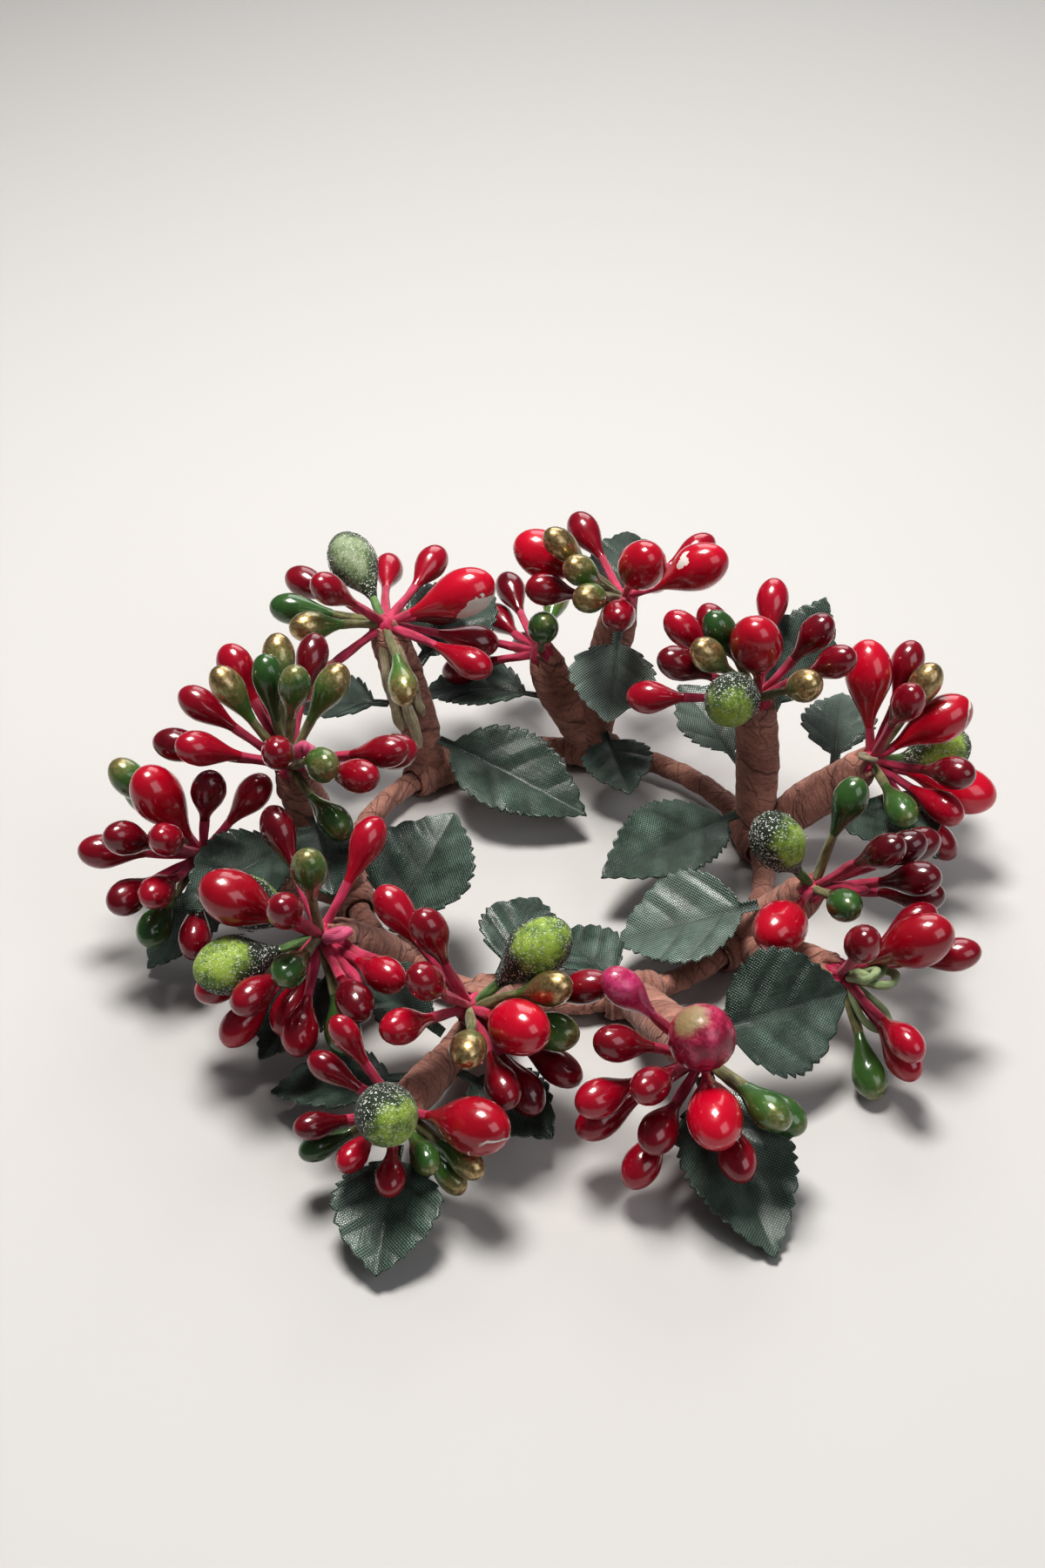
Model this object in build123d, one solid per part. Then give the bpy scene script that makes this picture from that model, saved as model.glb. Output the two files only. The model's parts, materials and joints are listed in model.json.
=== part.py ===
from build123d import *
import os
from dataclasses import dataclass, field
from math import acos, atan2, cos, degrees, hypot, pi, radians, sin

import numpy as np

# Driving dimensions, in millimetres and degrees

# The hoop and the candle it goes round
CANDLE_DIAMETER = 50.0
CANDLE_CLEARANCE = 0.5
HOOP_WIRE_DIAMETER = 1.6
HOOP_TAPE_WALL = 0.65
HOOP_WIRE_SLACK = 0.05
HOOP_WIRE_ENDS = 1.5

# The binding that winds each pick onto the hoop
BINDING_LENGTH = 7.0
BINDING_WALL = 0.85
BINDING_FLAT = 0.2
BINDING_PLAY = 0.1

# The taped stems and the wires in them
STEM_BELLY = 2.9
STEM_FOOT = 2.1
STEM_NECK = 2.4
LOW_STEM_BELLY = 2.2
GATHER_RADIUS = 3.1
STEM_WIRE_DIAMETER = 0.9
STEM_WIRE_SLACK = 0.05

# The pips: head diameter, length of the dipped taper and reach from the gather to the head
STALK_DIAMETER = 0.95
RED_HEAD, RED_TAPER, RED_REACH = 4.4, 6.2, 14.5
BERRY_HEAD, BERRY_TAPER, BERRY_REACH = 6.6, 8.0, 12.8
GREEN_HEAD, GREEN_TAPER, GREEN_REACH = 4.3, 6.5, 13.5
FROSTED_HEAD, FROSTED_TAPER, FROSTED_REACH = 7.0, 7.0, 12.3
PINK_HEAD, PINK_TAPER, PINK_REACH = 7.6, 5.6, 9.8
REACH_STEPS = (0.0, -1.2, 0.6, -0.6)

# The red and green pips of the smallest bunch, as a share of the others' size
SMALL_PIPS = 0.78

# How a pip's drop departs from a round head: its girth, and how far back it is widest, in head radii
DROP_GIRTH = 0.94
DROP_SETBACK = 0.35
PINK_SETBACK = 0.1

# The cloth leaves
LEAF_THICKNESS = 0.4
LEAF_FOLD = 14.0
LEAF_TOOTH_PITCH = 1.5
LEAF_TOOTH_DEPTH = 0.45
LEAF_TAB = 1.2
LEAF_TAB_LENGTH = 2.0
LEAF_STANDOFF = 0.3

# Shapes drawn along Z start at their base
BASE = (Align.CENTER, Align.CENTER, Align.MIN)

# How far a pick rolls in on the hoop, and the room kept round what moves and what doesn't
ROLL_IN = 8.0
MOVING_GAP = 0.45
STILL_GAP = 0.15
FLOOR_GAP = 0.1

# Sizes that follow

HOOP_TAPE_RADIUS = HOOP_WIRE_DIAMETER / 2 + HOOP_WIRE_SLACK + HOOP_TAPE_WALL
HOOP_RADIUS = CANDLE_DIAMETER / 2 + CANDLE_CLEARANCE + HOOP_TAPE_RADIUS
BINDING_BORE = HOOP_TAPE_RADIUS + BINDING_LENGTH**2 / (8 * HOOP_RADIUS) + BINDING_PLAY
BINDING_RADIUS = BINDING_BORE + BINDING_WALL
HOOP_HEIGHT = BINDING_RADIUS - BINDING_FLAT


@dataclass
class Kind:
    """One kind of pip: head diameter, dipped taper, reach from the gather's centre, setback of its girth."""

    head: float
    taper: float
    reach: float
    setback: float = DROP_SETBACK

    def sized(self, size):
        """The same kind of pip at another size."""
        return Kind(self.head * size, self.taper * size, self.reach * size, self.setback)


KINDS = {
    "berries": Kind(BERRY_HEAD, BERRY_TAPER, BERRY_REACH),
    "pink_bud": Kind(PINK_HEAD, PINK_TAPER, PINK_REACH, PINK_SETBACK),
    "frosted": Kind(FROSTED_HEAD, FROSTED_TAPER, FROSTED_REACH),
    "pips": Kind(RED_HEAD, RED_TAPER, RED_REACH),
    "buds": Kind(GREEN_HEAD, GREEN_TAPER, GREEN_REACH),
}


@dataclass
class Leaf:
    """A leaf on a bunch's stem: share of the way up it, heading and pitch, size, droop and roll."""

    bunch: int
    share: float
    heading: float
    pitch: float
    length: float
    width: float
    droop: float = 20.0
    roll: float = 0.0


@dataclass
class Bunch:
    """A bunch of pips: its gather's place from the hoop, and each pip's (azimuth, elevation) by kind."""

    out: float
    along: float
    up: float
    pips: list = field(default_factory=list)
    berries: list = field(default_factory=list)
    buds: list = field(default_factory=list)
    frosted: list = field(default_factory=list)
    pink_bud: list = field(default_factory=list)
    low: bool = False
    small: float = 1.0

    def kind(self, name):
        """One kind of pip at the size this bunch has it; only red and green pips come smaller."""
        return KINDS[name].sized(self.small if name in ("pips", "buds") else 1.0)


@dataclass
class Pick:
    """A wired pick wound onto the hoop at an azimuth: one or two bunches on one binding, with leaves."""

    name: str
    azimuth: float
    bunches: list
    leaves: list


PICKS = [
    Pick("back_left", 130, [
        Bunch(5, 3.5, 23,
              pips=[(147, 8), (222, 45), (92, 0), (40, -25), (330, -7), (2, -38), (230, -10), (64, 12)],
              berries=[(0, 25)],
              buds=[(175, 7), (213, 16), (75, -20), (285, -12), (300, -32)],
              frosted=[(118, 22)]),
    ], [
        Leaf(0, 0.28, 330, -6, 23, 13.5, 12, 22),
        Leaf(0, 0.45, 172, 0, 13.5, 10.4),
        Leaf(0, 0.6, 56, 26, 17, 13, 20, 10),
    ]),
    Pick("left", 194, [
        Bunch(7, 0, 21.5,
              pips=[(133, 45), (113, 20), (78, 38), (160, 28), (180, 12), (207, 28), (340, 22), (2, 8),
                    (318, 20), (272, 42)],
              buds=[(172, 58), (125, 72), (310, 78), (20, 60), (300, 32), (297, 0), (100, 55)]),
        Bunch(18.5, 0, 9.5, low=True,
              pips=[(225, 38), (196, 14), (265, 45), (235, 8), (255, 18), (272, -5), (322, 48), (0, 48)],
              berries=[(205, 66)],
              buds=[(250, -8), (140, 20), (160, 45)]),
    ], [
        Leaf(0, 0.5, 225, 5, 17, 12, 25, -15),
        Leaf(0, 0.7, 285, 5, 14, 10.4),
        Leaf(1, 0.72, 222, -27, 14.5, 10.4, 5),
    ]),
    Pick("front_left", 228, [
        Bunch(14, 0, 13,
              pips=[(120, 38), (55, 42), (255, 50), (240, 3), (222, -30), (241, -32), (260, -22),
                    (203, -20), (292, 5), (312, 10)],
              berries=[(190, 36)],
              buds=[(265, 76), (258, 20), (275, -6)],
              frosted=[(212, 8), (140, 10)]),
    ], [
        Leaf(0, 0.32, 62, 34, 17, 15, 12),
        Leaf(0, 0.6, 228, -22, 14, 10.4, 8),
    ]),
    Pick("front", 256, [
        Bunch(13, 0, 9.7,
              pips=[(240, 50), (215, 25), (350, 22), (288, -2), (300, -22), (322, -14), (150, 40),
                    (195, 50)],
              berries=[(303, 26)],
              buds=[(332, 40), (329, 14), (277, 22), (313, 4)],
              frosted=[(5, 47)]),
        Bunch(27, -4, 5.7, low=True, small=SMALL_PIPS,
              pips=[(210, 14), (160, 30), (120, 40), (243, 10), (268, 2)],
              berries=[(322, 22)],
              buds=[(207, -8), (288, 2), (303, 10), (313, -10)],
              frosted=[(265, 42)]),
    ], [
        Leaf(0, 0.4, 70, 20, 12.5, 10.4),
        Leaf(1, 0.42, 166, 36, 12.5, 10.4, 15, -10),
        Leaf(1, 0.95, 264, -14, 15.5, 12.5, 5),
        Leaf(1, 0.6, 322, -2, 13.5, 10.4, 10),
        Leaf(1, 0.72, 178, -7, 16, 10.4, 10),
    ]),
    Pick("front_right", 290, [
        Bunch(21.5, 0, 8.7,
              pips=[(180, 48), (205, 30), (215, 6), (238, 24), (210, -14), (252, 6), (246, -15),
                    (264, -14)],
              berries=[(273, 10)],
              buds=[(298, 14), (292, -6), (279, -20)],
              pink_bud=[(262, 56)]),
    ], [
        Leaf(0, 0.7, 12, 10, 17, 15.5, 15, 50),
        Leaf(0, 0.72, 290, -14, 23, 13.5, 6),
        Leaf(0, 0.32, 128, 2, 13, 10.4, 12),
    ]),
    Pick("right", 326, [
        Bunch(8, 4, 9.7,
              pips=[(322, 48), (355, 34), (333, 26), (345, 8), (12, 20)],
              berries=[(245, 12)],
              buds=[(30, 70), (284, 28)],
              frosted=[(212, 58)]),
        Bunch(17, -5, 6.7, low=True,
              pips=[(355, 18), (265, 50), (280, 5), (300, -14), (18, 38)],
              berries=[(340, 42)],
              buds=[(265, -12)]),
    ], [
        Leaf(0, 0.85, 184, -14, 18, 14.5, 8, -15),
    ]),
    Pick("right_back", 15, [
        Bunch(0, 2, 20.7,
              pips=[(70, 30), (350, 58), (325, 42), (160, 38), (200, 34), (140, 42), (168, -8)],
              berries=[(255, 68)],
              buds=[(298, 38), (180, 62), (224, 48)],
              frosted=[(245, 30)]),
        Bunch(14.5, -3, 11.7,
              pips=[(58, 52), (312, 68), (312, 22), (308, -4), (328, -34)],
              berries=[(100, 66), (8, 34), (332, -8)],
              buds=[(18, 60), (288, 2)],
              frosted=[(28, -8)]),
    ], [
        Leaf(0, 0.2, 217, 4, 22, 12.5, 12, -12),
        Leaf(0, 0.35, 127, 30, 14, 10.4, 12),
        Leaf(0, 0.6, 55, 50, 17, 11, 12),
        Leaf(1, 0.62, 78, 22, 13.5, 10.4, 15),
        Leaf(1, 0.56, 312, 10, 16, 13.5, 15),
    ]),
    Pick("back", 80, [
        Bunch(2.3, -3.5, 23.7,
              pips=[(40, 12), (110, 15), (292, 22), (200, 18), (75, -10)],
              berries=[(348, 32), (290, 54), (172, 28)],
              buds=[(262, 30), (235, 36), (205, 48)]),
        Bunch(1, 7.5, 14.5,
              pips=[(150, -8), (120, -5), (100, -28), (170, -22), (135, 12)],
              buds=[(285, 60), (80, 10)]),
    ], [
        Leaf(0, 0.95, 262, -34, 13, 12, 8),
        Leaf(0, 0.85, 85, 25, 12.5, 10.4, 12),
        Leaf(0, 0.2, 286, -6, 12.5, 10.4, 5),
        Leaf(1, 0.5, 172, 6, 17, 12, 20),
    ]),
]


def unit(azimuth, elevation=0.0):
    """A unit vector from an azimuth and an elevation."""
    a = radians(azimuth)
    e = radians(elevation)
    return np.array([cos(a) * cos(e), sin(a) * cos(e), sin(e)])


def turn(points, centre, axis, angle):
    """Points turned by an angle round an axis through a centre."""
    arms = points - centre
    c = cos(radians(angle))
    s = sin(radians(angle))
    along = (arms @ axis)[:, None] * axis
    return centre + arms * c + np.cross(axis, arms) * s + along * (1 - c)


def foot(pick):
    """Where a pick's binding is centred on the hoop."""
    return HOOP_RADIUS * unit(pick.azimuth) + np.array([0, 0, HOOP_HEIGHT])


def roll_axis(pick):
    """The axis a pick rolls in about: the hoop's own line at the binding."""
    return unit(pick.azimuth - 90)


def gather(pick, bunch):
    """The centre of a bunch, where its pips' stalks come together."""
    level = bunch.out * unit(pick.azimuth) + bunch.along * unit(pick.azimuth + 90)
    return foot(pick) + level + np.array([0, 0, bunch.up])


def stem_radius(bunch, share):
    """A stem's radius a share of the way up: an arc through the foot, the belly and the neck."""
    belly = LOW_STEM_BELLY if bunch.low else STEM_BELLY
    ends = STEM_FOOT * (1 - share) + STEM_NECK * share
    middle = (STEM_FOOT + STEM_NECK) / 2
    return ends + (belly - middle) * 4 * share * (1 - share)


class Room:
    """What is placed so far, as balls on each body, to see where a new piece has room."""

    def __init__(self):
        self.pieces = []

    def poses(self, pick, points):
        """The points at rest, and rolled in halfway and all the way."""
        if pick is None:
            return [points]
        angles = (0.0, ROLL_IN / 2, ROLL_IN)
        return [turn(points, foot(pick), roll_axis(pick), angle) for angle in angles]

    def add(self, pick, points, radii):
        """Places a piece's balls on its pick's body, or on the hoop's where there is no pick."""
        centre = points.mean(axis=0)
        size = (np.linalg.norm(points - centre, axis=1) + radii).max()
        self.pieces.append((pick, self.poses(pick, points), radii, centre, size))

    def has(self, pick, points, radii):
        """Whether a piece of a pick would keep clear of the floor and of every piece placed so far."""
        if (points[:, 2] - radii).min() < FLOOR_GAP:
            return False
        own = self.poses(pick, points)
        middle = points.mean(axis=0)
        reach = (np.linalg.norm(points - middle, axis=1) + radii).max()
        for other, poses, radii_there, centre, size in self.pieces:
            still = other is pick
            keep = STILL_GAP if still else MOVING_GAP
            shift = 0.0 if still else 2 * radians(ROLL_IN) * (np.linalg.norm(middle - foot(pick)) + reach)
            if np.linalg.norm(middle - centre) > reach + size + keep + shift:
                continue
            for mine in own[:1] if still else own:
                for theirs in poses[:1] if still else poses:
                    apart = np.linalg.norm(mine[:, None] - theirs[None], axis=2)
                    if (apart - radii[:, None] - radii_there[None]).min() < keep:
                        return False
        return True


def pip_balls(kind, centre, way, reach):
    """Balls along a pip, from its gather to its head, as wide as its taper and its drop."""
    r = kind.head / 2
    s = STALK_DIAMETER / 2
    start = GATHER_RADIUS + s
    distance = np.linspace(start, reach, 13)
    neck = np.clip((distance - reach + kind.taper) / kind.taper, 0, 1)
    setback = r * kind.setback
    past = (distance - reach + setback) / (r + setback)
    drop = r * DROP_GIRTH * np.sqrt(np.clip(1 - past**2, 0, 1))
    return centre + distance[:, None] * way, np.maximum(s + (r - s) * neck, drop)


def stem_balls(pick, bunch):
    """Balls along a stem, up to its gather, which stalks may touch."""
    shares = np.linspace(0.1, 1, 16)
    start = foot(pick)
    end = gather(pick, bunch)
    radii = np.array([stem_radius(bunch, share) for share in shares])
    radii[-1] = GATHER_RADIUS - STILL_GAP - 0.01
    return start + shares[:, None] * (end - start), radii


def near_ways(way):
    """The way a pip is wished to point, then ways ever further from it."""
    yield way
    side = np.cross(way, [0, 0, 1.0])
    side /= np.linalg.norm(side)
    other = np.cross(way, side)
    for lean in (5, 10, 15, 20, 25, 30):
        for clock in range(0, 360, 45):
            tilt = cos(radians(clock)) * side + sin(radians(clock)) * other
            yield cos(radians(lean)) * way + sin(radians(lean)) * tilt


def place_pip(room, pick, kind, centre, wish, reach):
    """The first way near the wished one where a pip has room, or None."""
    for way in near_ways(wish):
        for shorter in (0.0, 1.5, 3.0):
            balls = pip_balls(kind, centre, way, reach - shorter)
            if room.has(pick, *balls):
                room.add(pick, *balls)
                return way, reach - shorter
    return None


@dataclass
class LeafPlace:
    """A leaf's base, its axes ahead, to its side and up, and its size."""

    base: np.ndarray
    ahead: np.ndarray
    side: np.ndarray
    up: np.ndarray
    leaf: Leaf


def leaf_place(pick, leaf):
    """Stands a leaf's base just off its stem."""
    bunch = pick.bunches[leaf.bunch]
    start = foot(pick)
    end = gather(pick, bunch)
    line = (end - start) / np.linalg.norm(end - start)
    ahead = unit(leaf.heading, leaf.pitch)
    side = unit(leaf.heading + 90)
    up = np.cross(ahead, side)
    c = cos(radians(leaf.roll))
    s = sin(radians(leaf.roll))
    across = np.linalg.norm(np.cross(ahead, line))
    off = (stem_radius(bunch, leaf.share) + LEAF_STANDOFF) / across
    base = start + (end - start) * leaf.share + ahead * off
    return LeafPlace(base, ahead, c * side + s * up, c * up - s * side, leaf)


def leaf_half(leaf, share):
    """A leaf's half width a share of the way from its base to its tip."""
    tab = LEAF_TAB_LENGTH / leaf.length
    blade = max(0.0, (share - tab) / (1 - tab))
    return max(LEAF_TAB / 2 * (share < 0.5), leaf.width / 2 * sin(pi * blade**0.8) ** 0.8)


def leaf_balls(place):
    """Balls over a leaf's middle surface."""
    leaf = place.leaf
    bend = radians(leaf.droop)
    radius = leaf.length / bend
    points = []
    for share in np.linspace(0.03, 1, 15):
        half = leaf_half(leaf, share)
        x = radius * sin(bend * share)
        for y in np.linspace(-half, half, 9):
            z = radius * (cos(bend * share) - 1) + abs(y) * sin(radians(LEAF_FOLD))
            points.append(place.base + x * place.ahead + y * place.side + z * place.up)
    return np.array(points), np.full(len(points), LEAF_THICKNESS / 2 + 0.3)


def aimed(shape, centre, way):
    """A shape drawn along Z, moved to a centre and turned to point a way."""
    plane = Plane(origin=tuple(centre), z_dir=tuple(way))
    return plane.location * shape


def hoop_wire():
    """The wire ring, its ends just short of meeting."""
    gap = degrees(HOOP_WIRE_ENDS / HOOP_RADIUS)
    ring = Torus(HOOP_RADIUS, HOOP_WIRE_DIAMETER / 2, major_angle=360 - gap)
    return Pos(0, 0, HOOP_HEIGHT) * ring


def hoop_tape():
    """The paper tape wound along the wire ring, as one sleeve."""
    bore = HOOP_WIRE_DIAMETER / 2 + HOOP_WIRE_SLACK
    sleeve = Torus(HOOP_RADIUS, HOOP_TAPE_RADIUS) - Torus(HOOP_RADIUS, bore)
    return Pos(0, 0, HOOP_HEIGHT) * sleeve


def stem_barrel(bunch, length):
    """One taped stem drawn along Z, from the hoop's line to its gather."""
    belly = stem_radius(bunch, 0.5)
    side = ThreePointArc((STEM_FOOT, 0), (belly, length / 2), (STEM_NECK, length))
    outline = Polyline((STEM_NECK, length), (0, length), (0, 0), (STEM_FOOT, 0))
    barrel = revolve(Plane.XZ * make_face([side, outline]), Axis.Z)
    return barrel + Pos(0, 0, length) * Sphere(GATHER_RADIUS)


def stem(pick):
    """A pick's taped stems and the binding that winds them onto the hoop, bored for hoop and wires."""
    start = foot(pick)
    axis = roll_axis(pick)
    whole = aimed(Cylinder(BINDING_RADIUS, BINDING_LENGTH), start, axis)
    for bunch in pick.bunches:
        reach = gather(pick, bunch) - start
        length = np.linalg.norm(reach)
        whole += aimed(stem_barrel(bunch, length), start, reach / length)
    whole -= aimed(Cylinder(BINDING_BORE, BINDING_LENGTH * 4), start, axis)
    bore = STEM_WIRE_DIAMETER / 2 + STEM_WIRE_SLACK
    for core_start, way, length in wire_lines(pick):
        whole -= aimed(Cylinder(bore, length, align=BASE), core_start, way)
    floor = Box(400, 400, 50, align=(Align.CENTER, Align.CENTER, Align.MAX))
    return whole - floor


def wire_lines(pick):
    """Where each wire starts above the binding's bore, which way it runs and how long it is."""
    start = foot(pick)
    lines = []
    for bunch in pick.bunches:
        reach = gather(pick, bunch) - start
        length = np.linalg.norm(reach)
        way = reach / length
        lines.append((start + way * BINDING_RADIUS, way, length - BINDING_RADIUS))
    return lines


def stem_wires(pick):
    """The wires inside a pick's stems."""
    return [aimed(Cylinder(STEM_WIRE_DIAMETER / 2, length, align=BASE), start, way)
            for start, way, length in wire_lines(pick)]


def pip(kind, centre, way, reach):
    """A dipped pip on its stalk: a straight stalk, a cone and a long drop of a head in one."""
    r = kind.head / 2
    s = STALK_DIAMETER / 2
    neck = reach - kind.taper
    girth = r * DROP_GIRTH
    middle = reach - r * kind.setback
    cap = reach + r - middle
    across = s / girth
    down = (neck - middle) / cap
    angle = atan2(down, across) + acos(1 / hypot(across, down))
    join = (girth * cos(angle), middle + cap * sin(angle))
    stalk = Polyline((0, reach + r), (0, GATHER_RADIUS), (s, GATHER_RADIUS), (s, neck), join)
    sweep = 90 - degrees(angle)
    head = EllipticalCenterArc((0, middle), girth, cap, degrees(angle), arc_size=sweep)
    return aimed(revolve(Plane.XZ * make_face([stalk, head]), Axis.Z), centre, way)


def leaf_outline(leaf):
    """A toothed leaf outline in X and Y, its base at the origin."""
    count = max(4, round(leaf.length / LEAF_TOOTH_PITCH))
    edge = [(0.0, LEAF_TAB / 2)]
    for n in range(count):
        share = (n + 0.55) / count
        edge.append((leaf.length * share, leaf_half(leaf, share)))
        notch = (n + 1) / count
        if n < count - 1:
            depth = max(0.4, leaf_half(leaf, notch) - LEAF_TOOTH_DEPTH)
            edge.append((leaf.length * (notch - 0.1 / count), depth))
    edge.append((leaf.length, 0.0))
    return edge + [(x, -y) for x, y in reversed(edge[:-1])]


def leaf_solid(place):
    """A leaf cut to its outline from a drooping sheet folded along its rib."""
    leaf = place.leaf
    bend = radians(leaf.droop)
    radius = leaf.length / bend
    half = LEAF_THICKNESS / 2
    sweep = degrees(bend) + 8
    halves = []
    for sign in (1, -1):
        with BuildSketch(Plane.XZ) as band:
            with BuildLine():
                outer = CenterArc((0, -radius), radius + half, 90 - sweep, sweep + 4)
                inner = CenterArc((0, -radius), radius - half, 90 - sweep, sweep + 4)
                Line(outer @ 0, inner @ 0)
                Line(outer @ 1, inner @ 1)
            make_face()
        slant = (0, sign * cos(radians(LEAF_FOLD)), sin(radians(LEAF_FOLD)))
        halves.append(extrude(band.sketch, amount=leaf.width, dir=slant))
    outline = make_face(Polyline(*leaf_outline(leaf), close=True))
    cutter = extrude(outline, amount=leaf.length, both=True)
    sheet = (halves[0] + halves[1]) & cutter
    plane = Plane(origin=tuple(place.base), x_dir=tuple(place.ahead), z_dir=tuple(place.up))
    return plane.location * sheet


def lay_out():
    """Places stems, leaves and pips so that each has room, and returns leaves and pips by pick."""
    room = Room()
    around = np.array([HOOP_RADIUS * unit(a) + np.array([0, 0, HOOP_HEIGHT]) for a in range(0, 360, 3)])
    room.add(None, around, np.full(len(around), HOOP_TAPE_RADIUS))
    for pick in PICKS:
        for bunch in pick.bunches:
            room.add(pick, *stem_balls(pick, bunch))
    leaves = {pick.name: [leaf_place(pick, leaf) for leaf in pick.leaves] for pick in PICKS}
    for pick in PICKS:
        for place in leaves[pick.name]:
            room.add(pick, *leaf_balls(place))
    placed = {pick.name: {name: [] for name in KINDS} for pick in PICKS}
    for name in KINDS:
        for pick in PICKS:
            for bunch in pick.bunches:
                kind = bunch.kind(name)
                centre = gather(pick, bunch)
                for n, (azimuth, elevation) in enumerate(getattr(bunch, name)):
                    reach = kind.reach + REACH_STEPS[n % len(REACH_STEPS)]
                    found = place_pip(room, pick, kind, centre, unit(azimuth, elevation), reach)
                    if found:
                        placed[pick.name][name].append((kind, centre, *found))
    return leaves, placed


def save(node, shapes):
    """Writes one node's solids to its own file."""
    solids = [solid for shape in shapes for solid in shape.solids()]
    whole = solids[0] if len(solids) == 1 else Compound(solids)
    export_step(whole, f"parts/{node}.step")


def main():
    """Builds every node."""
    os.makedirs("parts", exist_ok=True)
    leaves, placed = lay_out()
    save("hoop_wire", [hoop_wire()])
    save("hoop_tape", [hoop_tape()])
    for pick in PICKS:
        save(f"{pick.name}_stem", [stem(pick)])
        save(f"{pick.name}_wire", stem_wires(pick))
        save(f"{pick.name}_leaves", [leaf_solid(place) for place in leaves[pick.name]])
        for name in KINDS:
            pieces = placed[pick.name][name]
            if pieces:
                save(f"{pick.name}_{name}", [pip(*piece) for piece in pieces])


main()
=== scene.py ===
"""Candle ring: a taped wire hoop with wound-on picks of lacquered pips, frosted berries and cloth leaves.

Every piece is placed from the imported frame: stems from the wires inside them, pips from their own solids
and leaves by fitting their folded sheets. Lengths inside the classes are in millimetres, and meshes are
written in metres.
"""

import json
import logging
import math
from dataclasses import dataclass, field, replace
from enum import Enum
from functools import cached_property
from typing import Any, Iterator, Sequence

import bmesh
import bpy
import numpy as np
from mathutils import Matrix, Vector


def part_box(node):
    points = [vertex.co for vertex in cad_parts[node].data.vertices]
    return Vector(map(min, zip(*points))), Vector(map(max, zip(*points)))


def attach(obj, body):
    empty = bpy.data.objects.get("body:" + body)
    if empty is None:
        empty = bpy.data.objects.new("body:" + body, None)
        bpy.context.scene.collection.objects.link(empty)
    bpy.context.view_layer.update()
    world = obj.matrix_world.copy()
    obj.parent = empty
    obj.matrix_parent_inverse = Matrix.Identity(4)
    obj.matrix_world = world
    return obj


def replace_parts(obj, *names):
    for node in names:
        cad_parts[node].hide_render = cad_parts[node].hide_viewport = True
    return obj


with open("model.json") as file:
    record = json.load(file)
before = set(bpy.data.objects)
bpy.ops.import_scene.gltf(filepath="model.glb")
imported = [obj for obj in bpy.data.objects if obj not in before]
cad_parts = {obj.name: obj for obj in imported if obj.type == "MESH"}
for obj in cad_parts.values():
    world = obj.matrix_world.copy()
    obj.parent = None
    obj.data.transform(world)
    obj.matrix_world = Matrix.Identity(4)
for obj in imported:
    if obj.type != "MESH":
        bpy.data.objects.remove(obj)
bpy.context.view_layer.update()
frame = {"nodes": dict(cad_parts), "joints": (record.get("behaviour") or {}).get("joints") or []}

LOG = logging.getLogger("candle_ring")
MM = 0.001
SEED = 20
TURN = 2 * math.pi
UP = np.array([0.0, 0.0, 1.0])
# Points of a new mesh that are nearer than this, in metres, are joined
WELD = 2e-6
# Points of a CAD mesh are matched on a grid of this pitch, in metres
GRID = 1e-7
# How long a drop is past its girth, in girths
CAP = 1.436
# Azimuth and elevation of a berry's bare side where no mark gives them
BARE_SIDE = (270.0, 50.0)
# What a pip's wear says where there is none: farther off than any wear reaches
UNWORN = -9.0
Colour = tuple[float, float, float]
Material = bpy.types.Material


class Part(Enum):
    """The kinds of piece a pick carries, by the ending of their nodes' names."""

    STEM = "stem"
    WIRE = "wire"
    PIPS = "pips"
    BERRIES = "berries"
    BUDS = "buds"
    FROSTED = "frosted"
    PINK_BUD = "pink_bud"
    LEAVES = "leaves"


class Wear(Enum):
    """What sets a single pip apart from its fellows."""

    CHIP = "chip"
    CRACK = "crack"
    ROSE = "rose"
    ZONE = "zone"


@dataclass(frozen=True)
class Mark:
    """One pip that differs from its fellows.

    Attributes:
        pick: the pick it is on.
        part: its kind.
        bunch: its bunch, the highest first.
        points: its own azimuth and elevation.
        wear: what sets it apart.
        side: azimuth and elevation of the side of its head that is worn or bare.
        size: how far the wear reaches from there, in millimetres.
    """

    pick: str
    part: Part
    bunch: int
    points: tuple[float, float]
    wear: Wear
    side: tuple[float, float] = (270.0, 40.0)
    size: float = 0.0


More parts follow.
